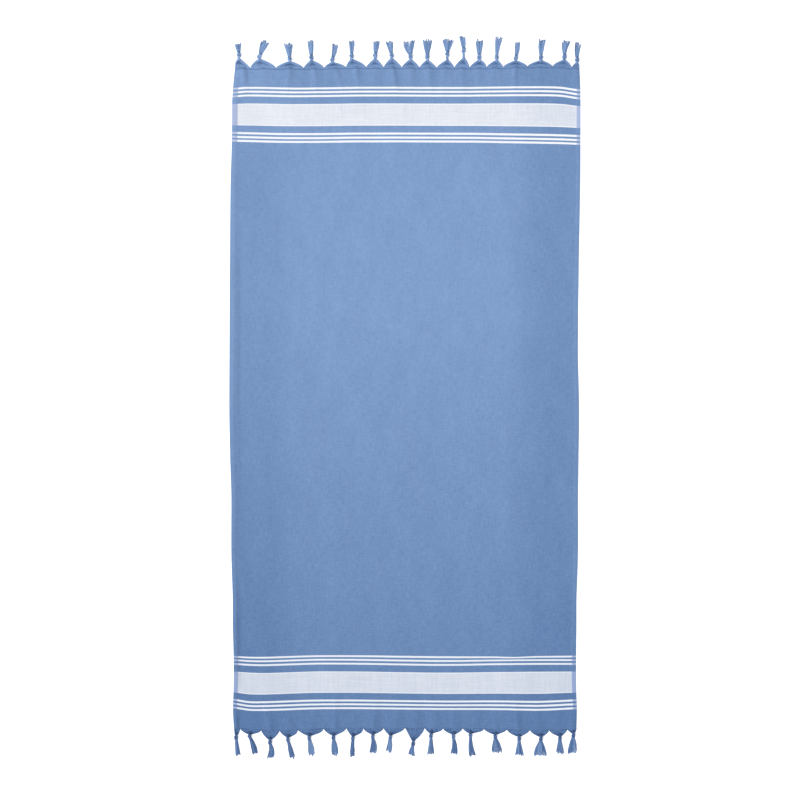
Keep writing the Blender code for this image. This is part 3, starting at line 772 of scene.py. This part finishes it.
def pull_height(end, x, inward):
    """What the webs do to the cloth beside the hem line: ridges in line with them, hollows at their notches."""
    height = np.zeros_like(x)
    chance = random.Random(PULL_SEED)
    left_notch = curve(SIDES, end.hem_y)
    for tassel in end.tassels:
        middle = (left_notch + tassel.notch) / 2
        lean = (tassel.knot_x - middle) / tassel.knot_out + chance.uniform(*PULL_LEANS)
        ridge = bell(x - middle + 0.5 * lean * inward, WEB_RIDGE_WIDTH * chance.uniform(*PULL_WIDTHS))
        height += WEB_RIDGE * chance.uniform(*PULLS) * ridge * bell(inward, WEB_RIDGE_REACH)
        hollow = bell(x - tassel.notch, NOTCH_HOLLOW_WIDTH) * bell(inward, NOTCH_HOLLOW_REACH)
        height -= NOTCH_HOLLOW * chance.uniform(*PULLS) * hollow
        left_notch = tassel.notch
    return end.webs.pull * height


def side_hem_height(inset, width, y):
    """A folded hem: a rounded outer edge, a soft step down to the cloth, and the ripples of its seam."""
    edge = -np.exp(-inset / HEM_EDGE)
    step = 0.5 * (1.0 - np.tanh((inset - width) / HEM_STEP))
    drag = HEM_DRAG * np.sin(math.tau * y / HEM_DRAG_LENGTH + 3.0 * np.sin(9.0 * y))
    return step * (HEM_RISE + drag * arch(unit(inset / width))) + HEM_FALL * HEM_RISE * edge


def seam_dip(end, x):
    """How much farther in the seam runs: +1 at the notches and -1 in the middle of the webs."""
    notches = [curve(SIDES, end.hem_y), *(tassel.notch for tassel in end.tassels)]
    return np.cos(math.tau * np.interp(x, notches, range(len(notches))))


def sheet_grid():
    """Points of the sheet's upper side, row by row, with their places in the weave, hem shares and tone, the
    painted shade of its creases.
    """
    across = grid_lines(ACROSS_GRID, WOVEN_WIDTH)
    along = grid_lines(ALONG_GRID, WOVEN_LENGTH)
    y_straight = laid_y(along)
    left, right = (edge[:, None] for edge in curves(SIDES, y_straight))
    share = across[None, :] / WOVEN_WIDTH
    x = between(left, right, share)
    y = np.repeat(y_straight[:, None], len(across), axis=1)
    z = np.full_like(x, CLOTH_THICKNESS)
    for end in ENDS:
        inward = np.abs(y_straight - end.hem_y)
        y += end.outward * weft_stray(end, between(*curves(SIDES, end.hem_y), share[0]), inward)
        z += pull_height(end, x, inward[:, None])
    far_inset = WOVEN_LENGTH - along[:, None]
    drawn = SEAM_DIP * seam_dip(ENDS[0], x) * bell(far_inset, SEAM_DIP_REACH)
    z -= STITCH_DEPTH * bell(far_inset - drawn - STITCH_INSET, STITCH_HALF)
    tone = np.zeros_like(x)
    for crease in CREASES:
        strength = crease_strength(x, y, crease)
        z += crease.height * strength
        tone += crease.shade * strength
    z += ripple_height(x, y)
    hem_left, hem_right = (width[:, None] for width in curves(HEM_WIDTHS, y_straight))
    z += side_hem_height(x - left, hem_left, y) + side_hem_height(right - x, hem_right, y)
    hem_share = np.minimum((x - left) / hem_left, (right - x) / hem_right)
    points = np.stack([x, y, np.maximum(z, LEAST_THICKNESS)], axis=-1)
    woven = along[:, None] + drawn
    weave = np.stack(np.broadcast_arrays(across[None, :] - WOVEN_WIDTH / 2, woven, hem_share), axis=-1)
    return points, weave, tone


def quads(index):
    """Faces between neighbouring points of a grid of point numbers."""
    corners = (index[:-1, :-1], index[:-1, 1:], index[1:, 1:], index[1:, :-1])
    return np.stack(corners, axis=-1).reshape(-1, 4)


def edge_faces(top, low):
    """Joins an edge of the upper side to the underside, which has half as many points along it."""
    return [(low[k], low[k + 1], top[2 * k + 2], top[2 * k + 1], top[2 * k]) for k in range(len(low) - 1)]


def make_sheet(material):
    """The woven sheet: a fine upper side, a coarser underside a cloth's thickness below, and thin edges."""
    points, weave, tone = sheet_grid()
    low_points = points[::2, ::2].copy()
    low_points[..., 2] = np.maximum(low_points[..., 2] - CLOTH_THICKNESS, 0.0)
    top = np.arange(points.shape[0] * points.shape[1]).reshape(points.shape[:2])
    low = top.size + np.arange(low_points.shape[0] * low_points.shape[1]).reshape(low_points.shape[:2])
    faces = quads(top).tolist() + quads(low)[:, ::-1].tolist()
    faces += edge_faces(top[0], low[0])
    faces += edge_faces(top[-1, ::-1], low[-1, ::-1])
    faces += edge_faces(top[::-1, 0], low[::-1, 0])
    faces += edge_faces(top[:, -1], low[:, -1])
    all_points = np.concatenate([points.reshape(-1, 3), low_points.reshape(-1, 3)])
    all_weave = np.concatenate([weave.reshape(-1, 3), weave[::2, ::2].reshape(-1, 3)])
    all_tone = np.concatenate([tone.ravel(), tone[::2, ::2].ravel()])
    dye = dye_and_light_at(all_weave[:, 0], all_weave[:, 1])
    finishes = [0] * len(faces)
    sheet = make_mesh("towel_cloth", all_points.tolist(), faces, all_weave, all_tone, dye, [material], finishes)
    sheet.data.set_sharp_from_angle(angle=math.radians(50.0))
    return sheet


# ---- strands -------------------------------------
def directions(path):
    tangents = np.gradient(path, axis=0)
    return tangents / np.linalg.norm(tangents, axis=1)[:, None]


def carried_frames(path):
    """Side and up vectors along a path, carried along it without turning round it."""
    tangents = directions(path)
    sides = np.empty_like(path)
    side = np.cross(tangents[0], (0.0, 0.0, 1.0))
    for k, tangent in enumerate(tangents):
        side = side - tangent * side.dot(tangent)
        side /= np.linalg.norm(side)
        sides[k] = side
    return sides, np.cross(tangents, sides)


def level_frames(path):
    """Side and up vectors along a path that never stands steep."""
    tangents = directions(path)
    sides = np.cross(tangents, (0.0, 0.0, 1.0))
    sides /= np.linalg.norm(sides, axis=1)[:, None]
    return sides, np.cross(tangents, sides)


def running_length(path):
    return np.concatenate([[0.0], np.cumsum(np.linalg.norm(np.diff(path, axis=0), axis=1))])


def resampled(path, count):
    """The same path as evenly spaced points."""
    run = running_length(path)
    even = np.linspace(0.0, run[-1], count)
    return np.stack([np.interp(even, run, path[:, k]) for k in range(3)], axis=1)


class Skin:
    """Collects the rings of one tassel's parts, in its own frame: x, distance out from the hem line, and z."""

    def __init__(self):
        self.points = []
        self.faces = []
        self.weave = []
        self.tone = []
        self.finishes = []
        self.count = 0

    def add_tube(self, rings, weave, tone, finish):
        """Skins closed rings of as many points each, and closes both ends."""
        steps, sides = rings.shape[:2]
        index = self.count + np.arange(steps * sides).reshape(steps, sides)
        wrapped = np.concatenate([index, index[:, :1]], axis=1)
        faces = quads(wrapped).tolist() + [index[0, ::-1].tolist(), index[-1].tolist()]
        self.points.append(rings.reshape(-1, 3))
        self.weave.append(weave.reshape(-1, 3))
        self.tone.append(np.broadcast_to(tone, (steps, sides)).ravel())
        self.faces += faces
        self.finishes += [finish] * len(faces)
        self.count += steps * sides

    def add_strand(self, path, radii, frames, sides, tone):
        """A round strand along a path, thick as the radii say, with one tone or a tone for each ring."""
        angles = np.arange(sides) * (math.tau / sides)
        side, up = frames
        around = side[:, None] * np.cos(angles)[None, :, None] + up[:, None] * np.sin(angles)[None, :, None]
        rings = path[:, None] + around * radii[:, None, None]
        wound = np.broadcast_to(angles[None, :] * radii.max(), rings.shape[:2])
        along = np.broadcast_to(running_length(path)[:, None], rings.shape[:2])
        weave = np.stack([wound, along, np.zeros(rings.shape[:2])], axis=-1)
        self.add_tube(rings, weave, tone, 1)

    def finish(self, name, end, materials):
        points = np.concatenate(self.points)
        points[:, 1] = end.hem_y + end.outward * points[:, 1]
        points[:, 2] = np.maximum(points[:, 2], 0.0)
        faces = self.faces if end.outward > 0.0 else [face[::-1] for face in self.faces]
        weave, tone = np.concatenate(self.weave), np.concatenate(self.tone)
        dye = dye_and_light_at(points[:, 0], points[:, 1] - NEAR_HEM_Y)
        return make_mesh(name, points.tolist(), faces, weave, tone, dye, materials, self.finishes)


# ---- knot ----------------------------------------
KNOT_POINTS = 72
SLACK_KNOT = (0.0024, 0.0042, 0.00055)  # scales of its curve
SQUEEZE = 0.84  # how close two turns of the knot press together, over the bundle's thickness
TOUCH_FROM = 1.7  # points nearer than this along the rope can't press on each other, over its thickness
TOUCH_PUSH = 0.6  # how much of what is too close one step mends
BEND_PUSH = 0.4
BEND_SPAN = 3  # the links of a bend, and the least share of their length between its ends
BEND_LIMIT = 0.84
KNOT_PULL = 0.00008  # how far one round pulls each end
KNOT_ROUNDS = 235
KNOT_EASING = 24  # steps for each round
END_CENTRING = 0.97
KNOT_BODY = 0.006  # from its middle


def loose_knot():
    """A slack overhand knot along Y, as evenly spaced points."""
    t = np.linspace(-2.2, 2.2, 4 * KNOT_POINTS)
    raw = np.stack([t**4 - 4 * t**2, t**3 - 3 * t, t**5 - 10 * t], axis=1) * SLACK_KNOT
    return resampled(raw, KNOT_POINTS)


def push_apart(points, first, second, least, strength):
    """Moves pairs of points that are closer than the least distance away from each other."""
    offset = points[second] - points[first]
    distance = np.linalg.norm(offset, axis=1)
    close = distance < least
    first, second = first[close], second[close]
    push = offset[close] * (strength * (least - distance[close]) / distance[close])[:, None]
    move = np.zeros_like(points)
    met = np.zeros(len(points))
    np.add.at(move, first, -push)
    np.add.at(move, second, push)
    np.add.at(met, first, 1.0)
    np.add.at(met, second, 1.0)
    points += move / np.maximum(met, 1.0)[:, None]


def keep_links(points, link):
    """Brings neighbours back to their distance, first the even pairs and then the odd ones."""
    for start in (0, 1):
        first = np.arange(start, len(points) - 1, 2)
        offset = points[first + 1] - points[first]
        distance = np.linalg.norm(offset, axis=1)
        fix = offset * (0.5 * (distance - link) / distance)[:, None]
        points[first] += fix
        points[first + 1] -= fix


def tight_knot():
    """Pulls the slack knot tight by its two ends, and lays it level with its middle over the origin."""
    points = loose_knot()
    link = np.linalg.norm(np.diff(points, axis=0), axis=1).mean()
    first, second = np.triu_indices(KNOT_POINTS, k=math.ceil(TOUCH_FROM * BUNDLE / link))
    bend_first = np.arange(KNOT_POINTS - BEND_SPAN)
    ends = points[[0, -1]].copy()
    for _ in range(KNOT_ROUNDS):
        ends[:, 1] += (-KNOT_PULL, KNOT_PULL)
        ends[:, ::2] *= END_CENTRING
        for _ in range(KNOT_EASING):
            push_apart(points, first, second, BUNDLE * SQUEEZE, TOUCH_PUSH)
            push_apart(points, bend_first, bend_first + BEND_SPAN, link * BEND_SPAN * BEND_LIMIT, BEND_PUSH)
            keep_links(points, link)
            points[[0, -1]] = ends
    body = points[np.abs(points[:, 1]) < KNOT_BODY]
    points -= (body.max(axis=0) + body.min(axis=0)) / 2
    return points


# ---- webs ----------------------------------------
def web_outline(tassel, left_notch, end, rise, share):
    """Where a web's points lie, as x and out, with the x of its root and its widths."""
    full = end.webs.full
    low = between(left_notch, tassel.knot_x - NECK_WIDTH / 2, rise ** (tassel.left * full))
    high = between(tassel.notch, tassel.knot_x + NECK_WIDTH / 2, rise ** (tassel.right * full))
    root_x = between(left_notch, tassel.notch, share)
    root_out = curve(end.hem_line, root_x) - WEB_OVERLAP
    neck_out = tassel.knot_out - end.webs.reach - tassel.neck
    return between(low, high, share), between(root_out, neck_out, rise), root_x, high - low


def web_rims(rise, inset):
    """How strongly the sides of a web are rolled in, and the height of those folds."""
    rolled = np.minimum(2.5 * rise, 1.0) * (1.15 - rise)
    rims = rolled * bell(inset - WEB_RIM_WIDTH, WEB_RIM_WIDTH)
    folds = WEB_RIM * (rims - 0.6 * rolled * bell(inset, RIM_CREASE))
    folds -= 0.4 * WEB_RIM * rolled * bell(inset - 3.2 * WEB_RIM_WIDTH, WEB_RIM_WIDTH)
    return rims, folds


def web_pleats(rise, share, chance):
    """Height of a web's pleats, and how deep in the valleys between them a place is."""
    count = chance.uniform(*PLEAT_COUNTS)
    bend = chance.uniform(*PLEAT_BENDS)
    bent = share + bend * np.sin(math.tau * (share * 1.5 + chance.uniform(0.0, 1.0)))
    crests = np.abs(np.sin(math.pi * (count * bent + chance.uniform(0.0, 1.0)))) ** 0.75 - 0.6
    fine = np.abs(np.sin(math.pi * (2.7 * count * bent + chance.uniform(0.0, 1.0)))) - 0.6
    gathered = rise**1.3 * (1.25 - rise) * 1.9
    pleats = WEB_PLEAT * gathered * (crests + 0.3 * fine) * (0.35 + 0.65 * arch(share))
    return pleats, unit(-crests) * gathered


def web_hollow(tassel, left_notch, look, deep, rise, share, chance):
    """The arched hollow across a web, and the gathered tongue between it and the knot, from 0 to 1."""
    gather = np.clip((tassel.knot_x - left_notch) / (tassel.notch - left_notch), 0.25, 0.75)
    aside = share - between(gather, 0.5, 0.4)
    sunk = look.sunk + chance.uniform(-HOLLOW_STRAY, HOLLOW_STRAY) - 2.0 * aside**2
    depth = 1.0 if deep else FAINT_HOLLOW
    hollow = depth * bell(aside, look.broad) * bell(rise - sunk, look.deep)
    return hollow, bell(aside, TONGUE_WIDTH) * unit((rise - sunk) / TONGUE_REACH)


def web_tucks(rise, share, chance):
    """How deep the two tucks are that start in either half of a web and meet at its neck, from 0 to 1."""
    tucks = 0.0
    for base in [chance.uniform(*places) for places in TUCK_BASES]:
        start = chance.uniform(*TUCK_STARTS)
        opened = chance.uniform(*TUCK_OPENINGS) * np.sqrt(arch(unit((rise - start) / (1.0 - start))))
        tucks += opened * bell(share - between(base, 0.5, rise), TUCK_WIDTH)
    return tucks


def web_weave(end, root_x, out):
    """The places in the weave of a web's points, with their shares of the side hem's width."""
    edge_left, edge_right = curves(SIDES, end.hem_y)
    hem_left, hem_right = curves(HEM_WIDTHS, end.hem_y)
    hem_share = np.minimum((root_x - edge_left) / hem_left, (edge_right - root_x) / hem_right)
    across = (root_x - edge_left) / (edge_right - edge_left) * WOVEN_WIDTH - WOVEN_WIDTH / 2
    past = WOVEN_LENGTH + out if end.outward > 0.0 else -out
    return np.stack(np.broadcast_arrays(across, past, hem_share), axis=-1)


def add_web(skin, tassel, left_notch, end, deep, chance):
    """The cloth's fringe edge, folded in from both sides and pleated towards its neck."""
    look = end.webs
    rise = (np.linspace(0.0, 1.0, WEB_STEPS + 1) ** 0.85)[:, None]
    share = np.linspace(0.0, 1.0, WEB_STRIPS + 1)[None, :]
    x, out, root_x, width = web_outline(tassel, left_notch, end, rise, share)
    rims, folds = web_rims(rise, np.minimum(share, 1.0 - share) * width)
    pleats, valleys = web_pleats(rise, share, chance)
    hollow, tongue = web_hollow(tassel, left_notch, look, deep, rise, share, chance)
    tucks = web_tucks(rise, share, chance)

    rounded = between(1.0, np.sqrt(arch(share)) * 0.5 + 0.5, rise)
    z = between(CLOTH_THICKNESS, NECK_HEIGHT, rise**2) * rounded + folds + pleats
    z += WEB_TONGUE * tongue
    z -= WEB_HOLLOW * hollow
    z -= WEB_TUCK * tucks
    top = np.stack([x, out, np.maximum(z, WEB_LEAST)], axis=-1)
    under = top[:, ::-1].copy()
    under[..., 2] = np.maximum(under[..., 2] - WEB_THICKNESS, 0.0)
    weave = web_weave(end, root_x, out)
    # Painted shade in the hollow, the tucks and the pleats' valleys; the rims and tongue painted paler, partly
    # looser weave, partly painted highlight.
    tone = look.hollow * hollow + look.tucks * tucks + VALLEY_SHADE * valleys
    tone = np.clip(tone - look.rims * (rims + 0.6 * tongue), -1.0, 1.0)
    rings = np.concatenate([top, under], axis=1)
    weave, tone = (np.concatenate([part, part[:, ::-1]], axis=1) for part in (weave, tone))
    skin.add_tube(rings, weave, tone, 0)


# ---- bundles and brushes -------------------------
def turned(tassel, side, along, turn):
    """A place beside and beyond the knot's middle, as x and out, in a direction that leans by turn."""
    x = tassel.knot_x + side * np.cos(turn) + along * np.sin(turn)
    out = tassel.knot_out - side * np.sin(turn) + along * np.cos(turn)
    return x, out


def brush_lean(tassel):
    return math.atan2(tassel.tip_x - tassel.knot_x, tassel.tip_out - tassel.knot_out)


def knot_path(tassel, end, knot, chance):
    """The bundle's course out of the web's neck, through the knot and into the brush."""
    start = -(end.webs.reach + tassel.neck + BUNDLE_INSET)
    body = knot[(knot[:, 1] > ROPE_START) & (knot[:, 1] < ROPE_END)].copy()
    body *= (chance.choice((-1.0, 1.0)), KNOT_SHORTENING, chance.choice((-1.0, 1.0)))
    tilt = chance.uniform(-KNOT_TILT, KNOT_TILT)
    x, z = body[:, 0].copy(), body[:, 2].copy()
    body[:, 0] = end.yarn.stout * (x * math.cos(tilt) - z * math.sin(tilt))
    body[:, 2] = (x * math.sin(tilt) + z * math.cos(tilt)) * KNOT_FLATTENING
    outside = unit((np.abs(body[:, 1]) - KNOT_END) / KNOT_END_FADE)
    keep = 1.0 - outside**2 * (3.0 - 2.0 * outside)
    body[:, 0] *= keep
    floor = BUNDLE / 2 - body[:, 2].min()
    body[:, 2] = between(BUNDLE / 2, body[:, 2] + floor, keep)
    if start < body[0, 1] - BUNDLE_LEAST:
        body = np.concatenate([[(0.0, start, BUNDLE / 2)], body])
    path = resampled(body, KNOT_RINGS + round(tassel.neck / 0.001))
    turn = brush_lean(tassel) * unit((path[:, 1] + TURN_REACH / 2) / TURN_REACH)
    x, out = turned(tassel, path[:, 0], path[:, 1], turn)
    return np.stack([x, out, path[:, 2]], axis=1)


def add_bundle(skin, tassel, end, knot, chance):
    """The gathered warp as a rope of strands that is tied in an overhand knot."""
    path = knot_path(tassel, end, knot, chance)
    side, up = carried_frames(path)
    run = running_length(path)
    spread = 1.0 + BUNDLE_FLARE * np.exp(-run / (BUNDLE_FLARE_REACH + 0.6 * tassel.neck))
    ring_radius = BUNDLE * BUNDLE_RING
    twist = chance.choice((-1.0, 1.0)) * run * (math.tau / BUNDLE_TWIST)
    # Painted shade on the yarn where it leaves its web.
    shaded = end.yarn.neck * bell(run - NECK_SHADE_FROM, NECK_SHADE_REACH)[:, None]
    for k in range(BUNDLE_STRANDS):
        angle = twist + math.tau * k / BUNDLE_STRANDS
        lateral = (np.cos(angle) * ring_radius * spread)[:, None]
        raised = (np.sin(angle) * ring_radius)[:, None]
        course = path + side * lateral + up * raised
        radii = np.full(len(path), BUNDLE * BUNDLE_STRAND)
        tone = chance.uniform(*BUNDLE_TONES) + end.yarn.pale - shaded
        skin.add_strand(course, radii, carried_frames(course), STRAND_SIDES, tone)
    skin.add_strand(path, np.full(len(path), ring_radius), (side, up), STRAND_SIDES + 1, CORE_TONE)


def brush_half_width(tassel, look, share):
    tip = look.spread * (tassel.fan - tassel.fork) / 2
    return between(BRUSH_ROOT, tip, share**look.flare) + tassel.belly * arch(share)


def brush_wisps(tassel, look, chance):
    """The wisps of a brush, by their place from -1 to 1 across it. One of them is as long as the brush."""
    count = max(4, round(tassel.fan / WISP_WIDTH))
    places = [(k + 0.5 + chance.uniform(-WISP_STRAY, WISP_STRAY)) / count * 2.0 - 1.0 for k in range(count)]
    lengths = [chance.uniform(look.shortest_wisp, 1.0) for _ in range(count)]
    lengths[chance.randrange(count)] = 1.0
    tones = [chance.uniform(-WISP_SHADES, WISP_SHADES) for _ in range(count)]
    return [Wisp(*wisp) for wisp in zip(places, lengths, tones)]


def add_brush(skin, tassel, end, chance):
    """The loose warp ends past the knot: crimped strands that gather into wisps and thin out at their tips."""
    look = end.yarn
    lean = brush_lean(tassel)
    length = math.hypot(tassel.tip_x - tassel.knot_x, tassel.tip_out - tassel.knot_out)
    wisps = brush_wisps(tassel, look, chance)
    strands = round(BRUSH_STRANDS + tassel.fan * STRANDS_PER_WIDTH)
    share = np.linspace(0.0, 1.0, BRUSH_STEPS + 1)
    for number in range(strands + STRAY_HAIRS):
        stray = number >= strands
        hair = STRAY_HAIR if stray else STRAND
        rank = chance.uniform(-1.0, 1.0)
        wisp = min(wisps, key=lambda each: abs(each.place - rank))
        drawn = between(rank, wisp.place, (0.0 if stray else look.clumped) * share**2)
        reach = wisp.length * chance.uniform(*STRAND_LENGTHS)
        reach *= chance.uniform(*STRAY_LENGTHS) if stray else 1.0
        here = share * (reach * (1.0 - look.rounding * rank**2))
        side = drawn * brush_half_width(tassel, look, here) * hair.width
        side += math.copysign(tassel.fork / 2, rank) * here**2 + tassel.bow * arch(here)
        swing = chance.uniform(*hair.swings) * here
        side += swing * np.sin(math.tau * here * chance.uniform(*STRAND_TURNS) + chance.uniform(0.0, 6.3))
        x, out = turned(tassel, side, between(BRUSH_START, length, here), lean)
        radius = STRAND_RADIUS * chance.uniform(*hair.radii)
        pile = between(BRUSH_PILE, TIP_PILE, here**0.7) * (1.0 - 0.45 * drawn**2) - 2.0 * radius
        layer = 1.0 if stray else chance.uniform(0.0, 1.0) ** 0.7
        path = np.stack([x, out, radius + np.maximum(pile, 0.0) * layer], axis=1)
        # Strands lower in the pile are painted darker: painted shade under the upper ones.
        tone = chance.uniform(*STRAND_TONES) * 0.7 + 0.3 * layer + wisp.tone
        skin.add_strand(path, radius * between(1.0, 0.95, share**3), level_frames(path), 4, tone)


# ---- tassels, each in the place of its solid -----
def make_tassel(name, tassel, left_notch, end, deep, knot, materials):
    chance = random.Random(f"{name} yarn")
    skin = Skin()
    add_web(skin, tassel, left_notch, end, deep, chance)
    add_bundle(skin, tassel, end, knot, chance)
    add_brush(skin, tassel, end, chance)
    return skin.finish(name, end, materials)


def make_tassels(woven, yarn):
    knot = tight_knot()
    made = []
    for end in ENDS:
        left_notch = float(curve(SIDES, end.hem_y))
        for number, tassel in enumerate(end.tassels, start=1):
            node = f"{end.label}_tassel_{number:02d}"
            deep = number in end.webs.deep_webs
            piece = make_tassel(f"yarn_{node}", tassel, left_notch, end, deep, knot, [woven, yarn])
            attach(piece, "root")
            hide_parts(node)
            made.append(piece)
            left_notch = tassel.notch
    return made


# ---- stage ---------------------------------------
def make_camera():
    data = bpy.data.cameras.new("camera")
    data.lens = LENS
    data.sensor_width = SENSOR
    data.clip_end = 100.0
    camera = placed("camera", data)
    camera.location = (*VIEW_CENTRE, VIEW_WIDTH * LENS / SENSOR)
    bpy.context.scene.camera = camera


def make_key_light():
    """A broad, even light from beyond the near left corner."""
    data = bpy.data.lights.new("softbox", "SUN")
    data.energy = KEY_STRENGTH
    data.angle = KEY_ANGLE
    placed("softbox", data).rotation_euler = Vector(KEY_FROM).to_track_quat("Z", "Y").to_euler()


def make_sky():
    world = bpy.data.worlds.new("studio")
    world.use_nodes = True
    fill(world.node_tree.nodes["Background"], {"Color": SKY, "Strength": SKY_STRENGTH})
    bpy.context.scene.world = world


def make_floor():
    """A plain white floor that glows a little, as a lit tabletop does."""
    material = bpy.data.materials.new("studio_floor")
    material.use_nodes = True
    shader = material.node_tree.nodes["Principled BSDF"]
    fill(shader, {"Base Color": FLOOR_WHITE, "Roughness": 1.0})
    fill(shader, {"Emission Color": (1.0, 1.0, 1.0, 1.0), "Emission Strength": FLOOR_GLOW})
    material.cycles.emission_sampling = "NONE"
    mesh = bpy.data.meshes.new("studio_floor")
    corners = [(x * FLOOR_HALF, y * FLOOR_HALF, 0) for x, y in ((-1, -1), (1, -1), (1, 1), (-1, 1))]
    mesh.from_pydata(corners, [], [(0, 1, 2, 3)])
    mesh.materials.append(material)
    floor = placed("studio_floor", mesh)
    floor.location.z = FLOOR_Z


def main():
    bpy.context.scene.view_settings.view_transform = "Standard"
    make_camera()
    make_key_light()
    make_sky()
    make_floor()
    woven, yarn = woven_cotton(), knotted_warp()
    tassels = make_tassels(woven, yarn)
    sheet = make_sheet(woven)
    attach(sheet, "root")
    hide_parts("cloth")


main()
